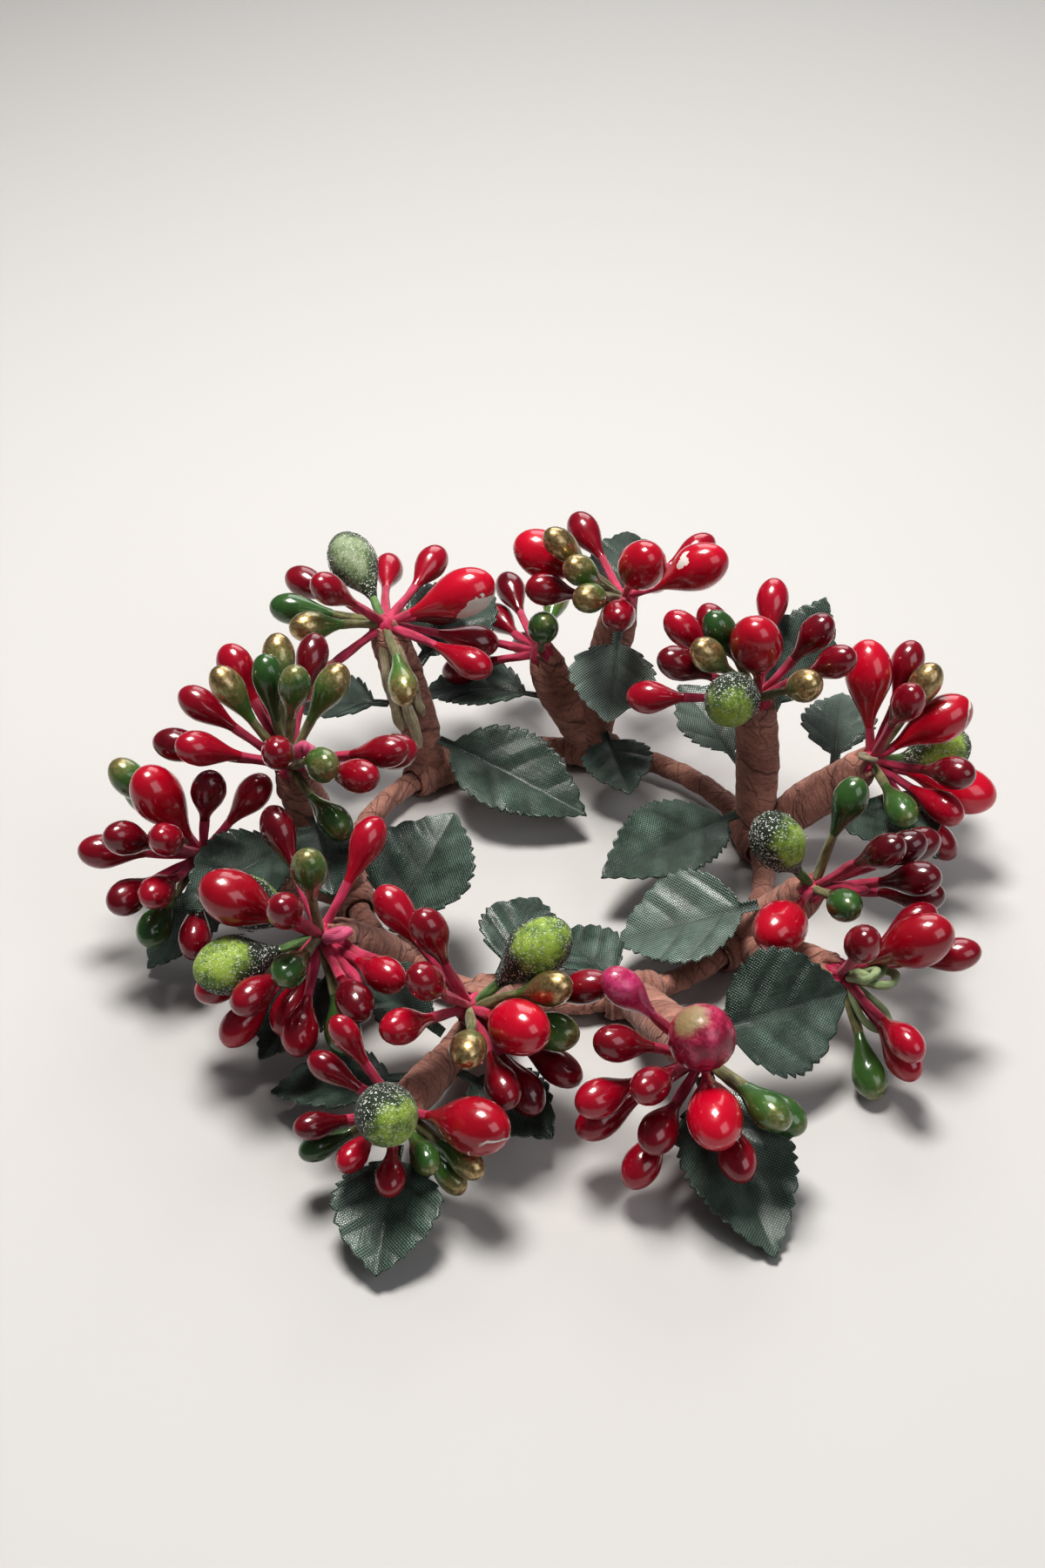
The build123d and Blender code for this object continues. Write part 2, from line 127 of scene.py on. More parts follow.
MARKS = [
    Mark("back_left", Part.BERRIES, 0, (0, 25), Wear.CHIP, (326, -38), 3.3),
    Mark("back", Part.BERRIES, 0, (348, 32), Wear.CHIP, (215, 35), 1.1),
    Mark("back", Part.BERRIES, 0, (172, 28), Wear.CRACK, (250, -50), 2.4),
    Mark("right_back", Part.BERRIES, 1, (8, 34), Wear.CRACK, (10, 5), 2.6),
    Mark("front_right", Part.BERRIES, 0, (273, 10), Wear.CRACK, (280, -30), 2.5),
    Mark("front", Part.BERRIES, 1, (322, 22), Wear.CRACK, (305, -20), 2.5),
    Mark("front", Part.BERRIES, 0, (303, 26), Wear.CRACK, (290, -40), 2.0),
    Mark("front_right", Part.PIPS, 0, (180, 48), Wear.ROSE),
    Mark("front_right", Part.PINK_BUD, 0, (262, 56), Wear.ZONE, (205, 62), 2.3),
    Mark("back_left", Part.FROSTED, 0, (118, 22), Wear.ZONE, (262, 52)),
    Mark("front_left", Part.FROSTED, 0, (212, 8), Wear.ZONE, (232, 52)),
    Mark("front_left", Part.FROSTED, 0, (140, 10), Wear.ZONE, (60, 0)),
    Mark("front", Part.FROSTED, 0, (5, 47), Wear.ZONE, (275, 50)),
    Mark("front", Part.FROSTED, 1, (265, 42), Wear.ZONE, (312, 0)),
    Mark("right", Part.FROSTED, 0, (212, 58), Wear.ZONE, (325, 20)),
    Mark("right_back", Part.FROSTED, 0, (245, 30), Wear.ZONE, (262, -12)),
    Mark("right_back", Part.FROSTED, 1, (28, -8), Wear.ZONE, (290, 40)),
]


# How bright a bunch's pips get, where that isn't 1
RIPENESS = {
    ("right", Part.PIPS, 0): -0.25,
    ("back", Part.PIPS, 1): 0.2,
    ("left", Part.PIPS, 1): 0.55,
    ("front_right", Part.PIPS, 0): 0.7,
    ("front_right", Part.BUDS, 0): 0.35,
    ("front_left", Part.BUDS, 0): 0.4,
    ("right", Part.BUDS, 0): 0.45,
    ("back_left", Part.FROSTED, 0): -1.0,
}


# How much painted silvery sheen the leaves get that take the light flat
PAINTED_LEAF_SHEEN = {
    "back_leaf_2": 2.2,
    "right_leaf_1": 0.9,
    "right_back_leaf_2": 1.0,
    "right_back_leaf_4": 0.4,
    "left_leaf_1": 0.4,
    "front_leaf_2": 0.35,
    "front_right_leaf_2": 0.35,
}


class Dye(Enum):
    """The dyed threads that loose ends are of, by the names of their finishes."""

    PALE = "pale_green_thread"
    BEIGE = "beige_thread"
    GOLD = "gold_thread"
    CRIMSON = "crimson_thread"
    ROSE = "rose_thread"


@dataclass(frozen=True)
class LooseEnd:
    """A loose thread or loop that shows at a bunch.

    Attributes:
        pick: the pick it is on.
        bunch: its bunch, the highest first.
        points: the azimuth and elevation it runs along.
        reach: how far it goes.
        dye: its colour.
        loop: how wide it loops, or 0 for a single end.
        sag: how far it drops.
        bulge: how far it stands off to the side that it lies on.
        side: the azimuth of that side.
        radius: of the thread.
    """

    pick: str
    bunch: int
    points: tuple[float, float]
    reach: float
    dye: Dye
    loop: float = 0.0
    sag: float = 0.0
    bulge: float = 0.0
    side: float = 270.0
    radius: float = 0.36


LOOSE_ENDS = [
    LooseEnd("right", 1, (325, 22), 6.2, Dye.PALE, loop=1.5, sag=0.3, radius=0.5),
    LooseEnd("right", 1, (308, 34), 4.9, Dye.PALE, loop=1.3, radius=0.5),
    LooseEnd("right", 1, (338, 30), 4.6, Dye.PALE, loop=1.2, sag=0.4, radius=0.46),
    LooseEnd("right", 1, (304, -12), 7.4, Dye.PALE, loop=1.4, sag=0.6, radius=0.48),
    LooseEnd("back_left", 0, (345, -76), 13.0, Dye.BEIGE, bulge=3.7, side=250, radius=0.72),
    LooseEnd("back_left", 0, (345, -76), 16.0, Dye.BEIGE, bulge=3.8, side=277, radius=0.8),
    LooseEnd("back_left", 0, (345, -76), 11.5, Dye.BEIGE, bulge=3.7, side=303, radius=0.6),
    LooseEnd("front", 0, (350, 4), 9.5, Dye.GOLD, sag=1.0),
    LooseEnd("front", 0, (342, 0), 9.0, Dye.GOLD, sag=1.6),
    LooseEnd("left", 0, (345, 62), 8.4, Dye.ROSE, sag=8.0, radius=0.8),
    LooseEnd("front_left", 0, (303, 6), 9.5, Dye.CRIMSON, sag=1.6, radius=0.66),
    LooseEnd("front_left", 0, (320, 14), 10.5, Dye.CRIMSON, sag=1.8, radius=0.66),
    LooseEnd("front_left", 0, (313, 34), 4.4, Dye.ROSE, loop=1.1, radius=0.6),
    LooseEnd("right_back", 1, (250, 40), 3.6, Dye.BEIGE, loop=1.0),
    LooseEnd("right", 0, (318, 30), 8.0, Dye.CRIMSON, sag=0.6, radius=0.5),
    LooseEnd("right", 0, (340, 24), 8.5, Dye.CRIMSON, sag=0.8, radius=0.5),
]


class Socket:
    """A shader socket whose arithmetic adds Math nodes."""

    def __init__(self, shader: "Shader", socket: bpy.types.NodeSocket) -> None:
        """Wraps a socket of one shader."""
        self.shader = shader
        self.socket = socket

    def math(self, operation: str, other: Any = None, swap: bool = False) -> "Socket":
        """Joins this value to another through a Math node.

        Args:
            operation: the Math node's operation.
            other: a number or socket, or None for a one-sided operation.
            swap: puts the other value first.

        Returns:
            The node's value.
        """
        first, second = (other, self) if swap else (self, other)
        inputs = {0: first} if other is None else {0: first, 1: second}
        return self.shader.node("ShaderNodeMath", {"operation": operation}, inputs)[0]

    def __add__(self, other: Any) -> "Socket":
        """This plus other."""
        return self.math("ADD", other)

    def __radd__(self, other: Any) -> "Socket":
        """Other plus this."""
        return self.math("ADD", other)

    def __sub__(self, other: Any) -> "Socket":
        """This less other."""
        return self.math("SUBTRACT", other)

    def __rsub__(self, other: Any) -> "Socket":
        """Other less this."""
        return self.math("SUBTRACT", other, swap=True)

    def __mul__(self, other: Any) -> "Socket":
        """This times other."""
        return self.math("MULTIPLY", other)

    def __rmul__(self, other: Any) -> "Socket":
        """Other times this."""
        return self.math("MULTIPLY", other)

    def sine(self) -> "Socket":
        """The sine of this."""
        return self.math("SINE")

    def step(self, low: float, high: float) -> "Socket":
        """A smooth step from 0 at low to 1 at high."""
        settings = {"interpolation_type": "SMOOTHSTEP"}
        inputs = {"Value": self, "From Min": low, "From Max": high}
        return self.shader.node("ShaderNodeMapRange", settings, inputs)["Result"]


class Made:
    """A node that was added, whose outputs are read by name or number."""

    def __init__(self, shader: "Shader", node: bpy.types.Node) -> None:
        """Wraps a node of one shader."""
        self.shader = shader
        self.node = node

    def __getitem__(self, key: str | int) -> Socket:
        """One output, as a socket."""
        return Socket(self.shader, self.node.outputs[key])


class Shader:
    """One procedural material: a Principled surface and the nodes that feed it."""

    # The Mix node's colour sockets by number, because its sockets for numbers have the same names
    FACTOR, FIRST, SECOND, MIXED = 0, 6, 7, 2

    def __init__(self, name: str, constants: dict[str, Any]) -> None:
        """Starts a material.

        Args:
            name: the material's name.
            constants: values that are the same all over, by the surface's socket names.
        """
        self.material = bpy.data.materials.new(name)
        self.material.use_nodes = True
        self.tree = self.material.node_tree
        self.tree.nodes.clear()
        self.surface = self.node("ShaderNodeBsdfPrincipled", {}, constants)
        self.node("ShaderNodeOutputMaterial", {}, {"Surface": self.surface["BSDF"]})

    def node(self, kind: str, settings: dict[str, Any], inputs: dict[Any, Any]) -> Made:
        """Adds any node.

        Args:
            kind: the node's type.
            settings: its properties, set first.
            inputs: values or sockets by input name or number.

        Returns:
            The node, for its outputs.
        """
        made = self.tree.nodes.new(kind)
        for key, value in settings.items():
            setattr(made, key, value)
        for key, value in inputs.items():
            if isinstance(value, Socket):
                self.tree.links.new(value.socket, made.inputs[key])
            elif made.inputs[key].type == "RGBA":
                made.inputs[key].default_value = (*value, 1.0)
            else:
                made.inputs[key].default_value = value
        return Made(self, made)

    def feed(self, **sockets: Socket) -> None:
        """Links varying values to the surface, by socket names with underscores for spaces."""
        for key, value in sockets.items():
            self.tree.links.new(value.socket, self.surface.node.inputs[key.replace("_", " ")])

    def mix(self, factor: Socket, a: Any, b: Any) -> Socket:
        """A colour between a and b, which are colours or sockets."""
        inputs = {self.FACTOR: factor, self.FIRST: a, self.SECOND: b}
        return self.node("ShaderNodeMix", {"data_type": "RGBA"}, inputs)[self.MIXED]

    def place(self) -> Socket:
        """Object coordinates."""
        return self.node("ShaderNodeTexCoord", {}, {})["Object"]

    def uv(self) -> tuple[Socket, Socket]:
        """The two numbers of the piece's UV map."""
        vector = self.node("ShaderNodeUVMap", {"uv_map": "Wrap"}, {})["UV"]
        parts = self.node("ShaderNodeSeparateXYZ", {}, {0: vector})
        return parts["X"], parts["Y"]

    def tone(self, name: str = "tone") -> Socket:
        """A number held on the piece's points."""
        return self.node("ShaderNodeAttribute", {"attribute_name": name}, {})["Fac"]

    def noise(self, vector: Socket, scale: float, detail: float = 3.0, roughness: float = 0.55) -> Socket:
        """Noise over a vector, in numbers from 0 to 1."""
        inputs = {"Vector": vector, "Scale": scale, "Detail": detail, "Roughness": roughness}
        return self.node("ShaderNodeTexNoise", {}, inputs)["Fac"]

    def cells(self, vector: Socket, scale: float, feature: str = "F1") -> Made:
        """Voronoi cells over a vector."""
        return self.node("ShaderNodeTexVoronoi", {"feature": feature}, {"Vector": vector, "Scale": scale})

    def channels(self, colour: Socket) -> Made:
        """A colour's channels, as numbers."""
        return self.node("ShaderNodeSeparateColor", {}, {0: colour})

    def vector(self, x: Socket, y: Socket) -> Socket:
        """Two numbers as a flat vector."""
        return self.node("ShaderNodeCombineXYZ", {}, {0: x, 1: y})[0]

    def bump(self, height: Socket, relief: float) -> Socket:
        """A normal from a height, whose 1 stands out by the relief in metres."""
        inputs = {"Height": height, "Distance": relief, "Strength": 1.0}
        return self.node("ShaderNodeBump", {}, inputs)["Normal"]


@dataclass(frozen=True)
class PaperTape:
    """Brown crepe paper tape, wound with overlaps: matte, fibrous, paler on its wrinkles as a painted
    highlight.

    Attributes:
        name: the material's name.
        light: the colour of its paler patches, and of its raised fibres as a painted highlight.
        middle: its usual colour.
        dark: the painted shade under a lap's edge and in a crease.
        bend_scale: waves per metre of what bends its creases.
        fibre_scale: the same for its fibres.
        patch_scale: the same for its paler patches.
        crease_scale: creases for each unit of the slanting run.
        relief: how deep its wrinkles are, in metres.
    """

    name: str = "paper_tape"
    light: Colour = (0.5, 0.255, 0.195)
    middle: Colour = (0.215, 0.088, 0.064)
    dark: Colour = (0.05, 0.015, 0.011)
    bend_scale: float = 260.0
    fibre_scale: float = 2600.0
    patch_scale: float = 230.0
    crease_scale: float = 0.62
    relief: float = 0.00032

    def make(self) -> Material:
        """The material: slanting wrinkles, fibres, and a painted shadow line under each lap's edge."""
        s = Shader(self.name, {"Roughness": 0.72, "Specular IOR Level": 0.35, "Sheen Weight": 0.15})
        along, around = s.uv()
        bend = s.noise(s.place(), self.bend_scale, 2.0) * 1.6
        run = s.vector(along * 0.5 + around * 5.0 + bend, along * 0.16 - around * 2.2 + bend)
        crease = s.cells(run, self.crease_scale, "DISTANCE_TO_EDGE")["Distance"].step(0.0, 0.045)
        lines = s.noise(s.vector(along * 2.4 + around * 14.0, along * 0.5 - around * 4.0), 1.0, 4.0, 0.6)
        fibre = s.noise(s.place(), self.fibre_scale, 4.0, 0.65)
        patch = s.noise(s.place(), self.patch_scale, 3.0)
        # Paler in patches, and on the raised lines and fibres as a painted highlight
        shade = patch * 0.9 + lines * 0.6 + fibre * 0.5 - 0.62
        colour = s.mix(shade.step(0.05, 0.7), self.middle, self.light)
        # Painted shade: dark under each lap's edge and, in patches, along the creases
        edge = (1 - s.tone("lap").step(0.0, 0.045)) * 0.8
        seam = edge.math("MAXIMUM", (1 - crease) * 0.6 * patch.step(0.4, 0.6))
        s.feed(Base_Color=s.mix(seam * lines.step(0.2, 0.5), colour, self.dark))
        s.feed(Normal=s.bump(crease * 0.4 + lines * 0.8 + fibre * 0.35, self.relief))
        return s.material


@dataclass(frozen=True)
class Lacquer:
    """Dipped gloss lacquer: deep colour that differs by pip, a thick clear coat and a flowed skin.

    Attributes:
        name: the material's name.
        deep: the colour of its darkest pips.
        bright: the colour of its brightest pips.
        bare: the colour of the core under a chip.
        gilt: the colour of the gilding rubbed onto it, if it has any.
        foil: the colour of the gilding's bright specks.
        flow_scale: waves per metre of the flowed skin.
        skin_scale: the same for its fine unevenness.
        speck_scale: the same for the gilding's specks.
        tear_scale: the same for the ragged edges of wear.
        shard_scale: the same for the shards of a chip.
        film_scale: the same for where a crack's film lifts.
        relief: how deep its unevenness is, in metres.
    """

    name: str
    deep: Colour
    bright: Colour
    bare: Colour = (0.74, 0.68, 0.63)
    gilt: Colour | None = None
    foil: Colour = (0.52, 0.38, 0.19)
    flow_scale: float = 330.0
    skin_scale: float = 1000.0
    speck_scale: float = 2400.0
    tear_scale: float = 620.0
    shard_scale: float = 420.0
    film_scale: float = 240.0
    relief: float = 0.00007

    def make(self) -> Material:
        """The material, chipped to its core, cracked at a film's edge or rubbed with gilt, as the pip is."""
        s = Shader(self.name, {"Coat Roughness": 0.04, "Specular IOR Level": 0.4})
        tone = s.tone()
        flow = s.noise(s.place(), self.flow_scale, 2.0)
        skin = s.noise(s.place(), self.skin_scale, 2.0)
        colour = s.mix((tone * 0.75 + flow * 0.6 + 0.02).step(0.0, 1.05), self.deep, self.bright)
        rough = 0.18 + flow * 0.2
        if self.gilt:
            along, _ = s.uv()
            speck = s.noise(s.place(), self.speck_scale, 3.0)
            rub = along + (flow - 0.5) * 0.35 + (tone - 0.6) * 0.5 + (speck - 0.5) * 0.14
            rubbed = rub.step(0.74, 1.06)
            gilding = s.mix(speck.step(0.35, 0.65), self.gilt, self.foil)
            colour = s.mix(rubbed * 0.95, colour, gilding)
            s.feed(Metallic=rubbed * 0.85)
            rough = rough + rubbed * 0.06
        torn = s.noise(s.place(), self.tear_scale, 2.0) - 0.5
        shard = s.cells(s.place(), self.shard_scale, "DISTANCE_TO_EDGE")["Distance"]
        bare = (s.tone("chip") + torn * 1.6 + shard * 1.5 - 0.3).step(0.0, 0.06)
        edge = (s.tone("crack") + torn * 0.7).math("ABSOLUTE")
        film = (1 - edge.step(0.07, 0.16)) * s.noise(s.place(), self.film_scale, 1.0).step(0.46, 0.54)
        pale = bare.math("MAXIMUM", film)
        s.feed(Base_Color=s.mix(pale, colour, self.bare))
        s.feed(Roughness=rough + pale * 0.45, Coat_Weight=0.85 - pale * 0.85)
        s.feed(Normal=s.bump(skin * 0.6 + flow - bare * 2.0 + film * 2.0, self.relief))
        return s.material


@dataclass(frozen=True)
class SugarFrost:
    """A lime berry: bare and velvety on one side, on the other dark under its glass grains as a painted
    reflection.

    Attributes:
        name: the material's name.
        lime: the colour of its bare side.
        sage: the same on a berry whose tone is below 0.
        leaf: the colour in the velvet's hollows.
        dark: the colour under the crust, a painted dark reflection in its glass.
        grain: the colour of the finest grains, painted bright as glints.
        ragged_scale: waves per metre of the bare side's edge.
        velvet_scale: the same for its velvet.
        grain_scale: the same for the finest grains.
        relief: how deep the crust is, in metres.
    """

    name: str = "sugar_frost"
    lime: Colour = (0.3, 0.42, 0.06)
    sage: Colour = (0.3, 0.36, 0.22)
    leaf: Colour = (0.07, 0.14, 0.03)
    dark: Colour = (0.016, 0.028, 0.013)
    grain: Colour = (0.8, 0.84, 0.78)
    ragged_scale: float = 420.0
    velvet_scale: float = 1700.0
    grain_scale: float = 7000.0
    relief: float = 0.0001

    def make(self) -> Material:
        """The material: lime or sage in a soft ragged zone, painted dark beyond it, and fine grains painted
        as glints.
        """
        s = Shader(self.name, {"Specular IOR Level": 0.4, "Sheen Weight": 0.12, "Sheen Roughness": 0.4})
        place = s.place()
        ragged = s.noise(place, self.ragged_scale, 3.0) - 0.5
        velvet = s.noise(place, self.velvet_scale, 3.0)
        zone = s.tone("zone") + ragged * 0.9
        bare = zone.step(0.2, 0.8)
        cell = s.cells(place, self.grain_scale)
        spark = s.channels(cell["Color"])
        # Painted glints: the finest grains drawn bright, fewer on the bare side
        bright = spark["Red"].step(0.86, 0.88) * (1.0 - bare * 0.6)
        ripe = s.mix(s.tone().step(-0.1, 0.0), self.sage, self.lime)
        fresh = s.mix((velvet + ragged + zone * 0.5 - 0.3).step(0.15, 0.85), self.leaf, ripe)
        # Beyond the bare zone, painted dark as the crust's reflection, then the painted glints
        s.feed(Base_Color=s.mix(bright, s.mix(bare, self.dark, fresh), self.grain))
        s.feed(Roughness=0.62 - bright * 0.5)
        crust = (cell["Distance"] + spark["Green"] * 0.7) * (1.0 - bare * 0.7)
        s.feed(Normal=s.bump(crust + velvet * 0.35 + ragged * 0.5, self.relief))
        return s.material


@dataclass(frozen=True)
class GlassGrain:
    """The loose glass grains that stand on the frosted berries: bright facets over the berry's dark green.

    Attributes:
        name: the material's name.
        bright: the colour of white grains.
        shaded: the colour of clear ones, painted dark as a reflection in their glass.
        grain_scale: changes of colour per metre.
    """

    name: str = "glass_grain"
    bright: Colour = (0.85, 0.88, 0.82)
    shaded: Colour = (0.03, 0.05, 0.022)
    grain_scale: float = 3800.0

    def make(self) -> Material:
        """The material: clear grains painted dark as reflections in their glass, and some that are white."""
        s = Shader(self.name, {"Roughness": 0.12, "Specular IOR Level": 0.6})
        chance = s.channels(s.cells(s.place(), self.grain_scale)["Color"])["Red"]
        s.feed(Base_Color=s.mix(chance.step(0.74, 0.8), self.shaded, self.bright))
        return s.material


@dataclass(frozen=True)
class PinkWax:
    """A pink wax bud, mottled and glossy, with a small sere patch.

    Attributes:
        name: the material's name.
        deep: its darker colour.
        pale: its paler colour.
        sere: the colour of its withered patch.
        mottle_scale: waves per metre of its mottling.
        fine_scale: the same for its fine unevenness.
        relief: how deep its unevenness is, in metres.
    """

    name: str
    deep: Colour
    pale: Colour
    sere: Colour
    mottle_scale: float = 560.0
    fine_scale: float = 2200.0
    relief: float = 0.00016

    def make(self) -> Material:
        """The material: rosy mottling under a thin gloss, browned where the patch has withered."""
        s = Shader(self.name, {"Specular IOR Level": 0.5, "Coat Roughness": 0.15})
        mottle = s.noise(s.place(), self.mottle_scale, 4.0, 0.65)
        fine = s.noise(s.place(), self.fine_scale, 3.0)
        colour = s.mix((mottle + (fine - 0.5) * 0.4).step(0.36, 0.7), self.deep, self.pale)
        patch = (s.tone("chip") + (mottle - 0.5) * 2.6 + (fine - 0.5) * 0.8).step(-0.3, 0.9)
        s.feed(Base_Color=s.mix(patch * 0.85, colour, self.sere))
        s.feed(Roughness=0.28 + fine * 0.2 + patch * 0.2, Coat_Weight=0.6 - patch * 0.4)
        s.feed(Normal=s.bump(mottle + fine * 0.4, self.relief))
        return s.material


@dataclass(frozen=True)
class CottonThread:
    """Dyed cotton floss, barely twisted and stiff with size.

    Attributes:
        name: the material's name.
        deep: the colour between its strands, as painted shade, and in its darker patches.
        pale: the colour on top of them, as a painted highlight, and in its paler patches.
        patch_scale: waves per metre of its paler patches.
        relief: how deep its strands are, in metres.
    """

    name: str
    deep: Colour
    pale: Colour
    patch_scale: float = 600.0
    relief: float = 0.00016

    def make(self) -> Material:
        """The material: floss streaks along it, painted highlight on top and painted shade between, a little
        glazed.
        """
        s = Shader(self.name, {"Roughness": 0.55, "Specular IOR Level": 0.45, "Sheen Weight": 0.25})
        along, around = s.uv()
        floss = s.noise(s.vector(along * 5.0 - around * 1.5, around * 34.0), 1.0, 3.0, 0.6)
        patch = s.noise(s.place(), self.patch_scale, 2.0)
        # Pale on the raised floss as a painted highlight and deep between as painted shade, varied in patches
        s.feed(Base_Color=s.mix((floss * 0.9 + patch * 0.6 - 0.3).step(0.2, 0.8), self.deep, self.pale))
        s.feed(Normal=s.bump(floss, self.relief))
        return s.material


@dataclass(frozen=True)
class LeafCloth:
    """Dark green polyester cloth, plain weave, heat-pressed, with a painted silvery sheen where the threads
    lie flat.

    Attributes:
        name: the material's name.
        deep: the colour between its threads, and in its veins as painted shade.
        green: the colour of its threads.
        painted_sheen_colour: the painted sheen on threads that take the light flat.
        pitch: from thread to thread, in millimetres.
        wobble_scale: waves per millimetre of the weave's unevenness.
        tone_and_sheen_scale: the same for its patches of lighter and darker green and of painted sheen.
        relief: how deep the weave is, in metres.
    """

    name: str = "leaf_cloth"
    deep: Colour = (0.003, 0.011, 0.007)
    green: Colour = (0.014, 0.048, 0.027)
    painted_sheen_colour: Colour = (0.4, 0.52, 0.46)
    pitch: float = 0.39
    wobble_scale: float = 0.35
    tone_and_sheen_scale: float = 0.22
    relief: float = 0.00005

    def make(self) -> Material:
        """The material: a weave in the cloth's own millimetres, the product of a sine each way.

        Its pressed veins get painted shade, and its swells and leaves that take the light flat a painted
        silvery sheen.
        """
        s = Shader(self.name, {"Specular IOR Level": 0.6, "Sheen Weight": 0.03, "Sheen Roughness": 0.3})
        x, y = s.uv()
        thread_turn = TURN / self.pitch
        wobble = s.noise(s.vector(x, y), self.wobble_scale, 2.0) * 1.2
        weave = (x * thread_turn + wobble).sine() * (y * thread_turn + wobble).sine()
        thread = weave.step(-0.5, 0.5)
        # Patches that vary the green and set where the painted sheen lies
        worn = s.noise(s.vector(x, y), self.tone_and_sheen_scale, 3.0)
        slub = s.noise(s.vector(x * 0.4, y * 7.0), 1.0, 2.0)
        vein = s.tone("vein")
        swell = s.tone("swell")
        # Painted highlight on the swells and painted shade in the pressed veins, over the weave and its
        # patches
        shade = worn * 0.6 + thread * 0.34 + slub * 0.25 + swell * 0.2 - vein * 0.3 - 0.16
        base = s.mix(shade.step(0.05, 0.9), self.deep, self.green)
        # Painted sheen: silver on the threads, in patches, on the swells and on leaves given shine
        painted_sheen = (slub * 0.5 + worn * 1.1 - 0.5).step(0.05, 0.6) * (0.2 + swell * 0.32)
        painted_sheen = thread * (painted_sheen + s.tone("shine") * (0.25 + slub * 0.3 - vein * 0.3))
        s.feed(Base_Color=s.mix(painted_sheen, base, self.painted_sheen_colour))
        s.feed(Roughness=0.38 - swell * 0.1 - thread * 0.08)
        s.feed(Normal=s.bump(thread + slub * 0.4, self.relief))
        return s.material


@dataclass(frozen=True)
class DrawnWire:
    """Drawn steel wire, seen only if the tape opens.

    Attributes:
        name: the material's name.
        dull: the colour in its drawing marks.
        bright: the colour between them.
        mark_scale: drawing marks per metre.
    """

    name: str = "steel_wire"
    dull: Colour = (0.3, 0.3, 0.3)
    bright: Colour = (0.42, 0.42, 0.42)
    mark_scale: float = 1800.0

    def make(self) -> Material:
        """The material: fine drawing marks."""
        s = Shader(self.name, {"Metallic": 1.0})
        mark = s.noise(s.place(), self.mark_scale, 2.0)
        s.feed(Base_Color=s.mix(mark, self.dull, self.bright), Roughness=0.3 + mark * 0.25)
        return s.material


FINISHES = [
    PaperTape(),
    CottonThread("crimson_thread", (0.3, 0.006, 0.03), (0.72, 0.045, 0.16)),
    CottonThread("khaki_thread", (0.07, 0.065, 0.02), (0.34, 0.33, 0.14)),
    CottonThread("beige_thread", (0.19, 0.155, 0.08), (0.6, 0.53, 0.36)),
    CottonThread("rose_thread", (0.5, 0.025, 0.11), (0.85, 0.2, 0.36)),
    CottonThread("green_thread", (0.03, 0.07, 0.014), (0.17, 0.34, 0.09)),
    CottonThread("gold_thread", (0.25, 0.17, 0.04), (0.65, 0.5, 0.18)),
    CottonThread("pale_green_thread", (0.16, 0.24, 0.09), (0.5, 0.6, 0.34)),
    Lacquer("red_lacquer", (0.045, 0.0006, 0.004), (0.37, 0.0015, 0.021)),
    Lacquer("berry_lacquer", (0.22, 0.0008, 0.009), (0.54, 0.002, 0.026)),
    Lacquer("green_lacquer", (0.011, 0.042, 0.013), (0.075, 0.18, 0.038), gilt=(0.27, 0.175, 0.075)),
    SugarFrost(),
    GlassGrain(),
    PinkWax("pink_wax", (0.2, 0.004, 0.03), (0.5, 0.035, 0.11), (0.26, 0.22, 0.1)),
    PinkWax("rose_wax", (0.36, 0.012, 0.08), (0.6, 0.07, 0.2), (0.5, 0.06, 0.16)),
    LeafCloth(),
    DrawnWire(),
]


@dataclass
class Patch:
    """A grid of points with its UVs, numbers on its points and a finish for each of its rows.

    Attributes:
        points: rows by columns by 3, in millimetres.
        uv: rows by columns by 2, or rows by columns + 1 where the columns wrap.
        wrap: whether the last column meets the first.
        numbers: arrays of one number for each point, by attribute name.
        finish: the finish's place in the piece's list, one for all rows or one for each.
    """

    points: np.ndarray
    uv: np.ndarray
    wrap: bool = True
    numbers: dict[str, np.ndarray] = field(default_factory=dict)
    finish: int | np.ndarray = 0

    def corners(self) -> tuple[np.ndarray, np.ndarray, np.ndarray]:
        """The grid's faces.

        Returns:
            Point numbers of each quad, the UV of each corner and the finish of each quad.
        """
        rows, columns = self.points.shape[:2]
        last = columns if self.wrap else columns - 1
        i, j = (a.ravel() for a in np.meshgrid(np.arange(rows - 1), np.arange(last), indexing="ij"))
        k = (j + 1) % columns
        this_row, next_row = i * columns, (i + 1) * columns
        quads = np.stack([this_row + j, this_row + k, next_row + k, next_row + j], axis=1)
        uv = np.stack([self.uv[i, j], self.uv[i, j + 1], self.uv[i + 1, j + 1], self.uv[i + 1, j]], axis=1)
        return quads, uv, np.broadcast_to(self.finish, rows - 1)[i]


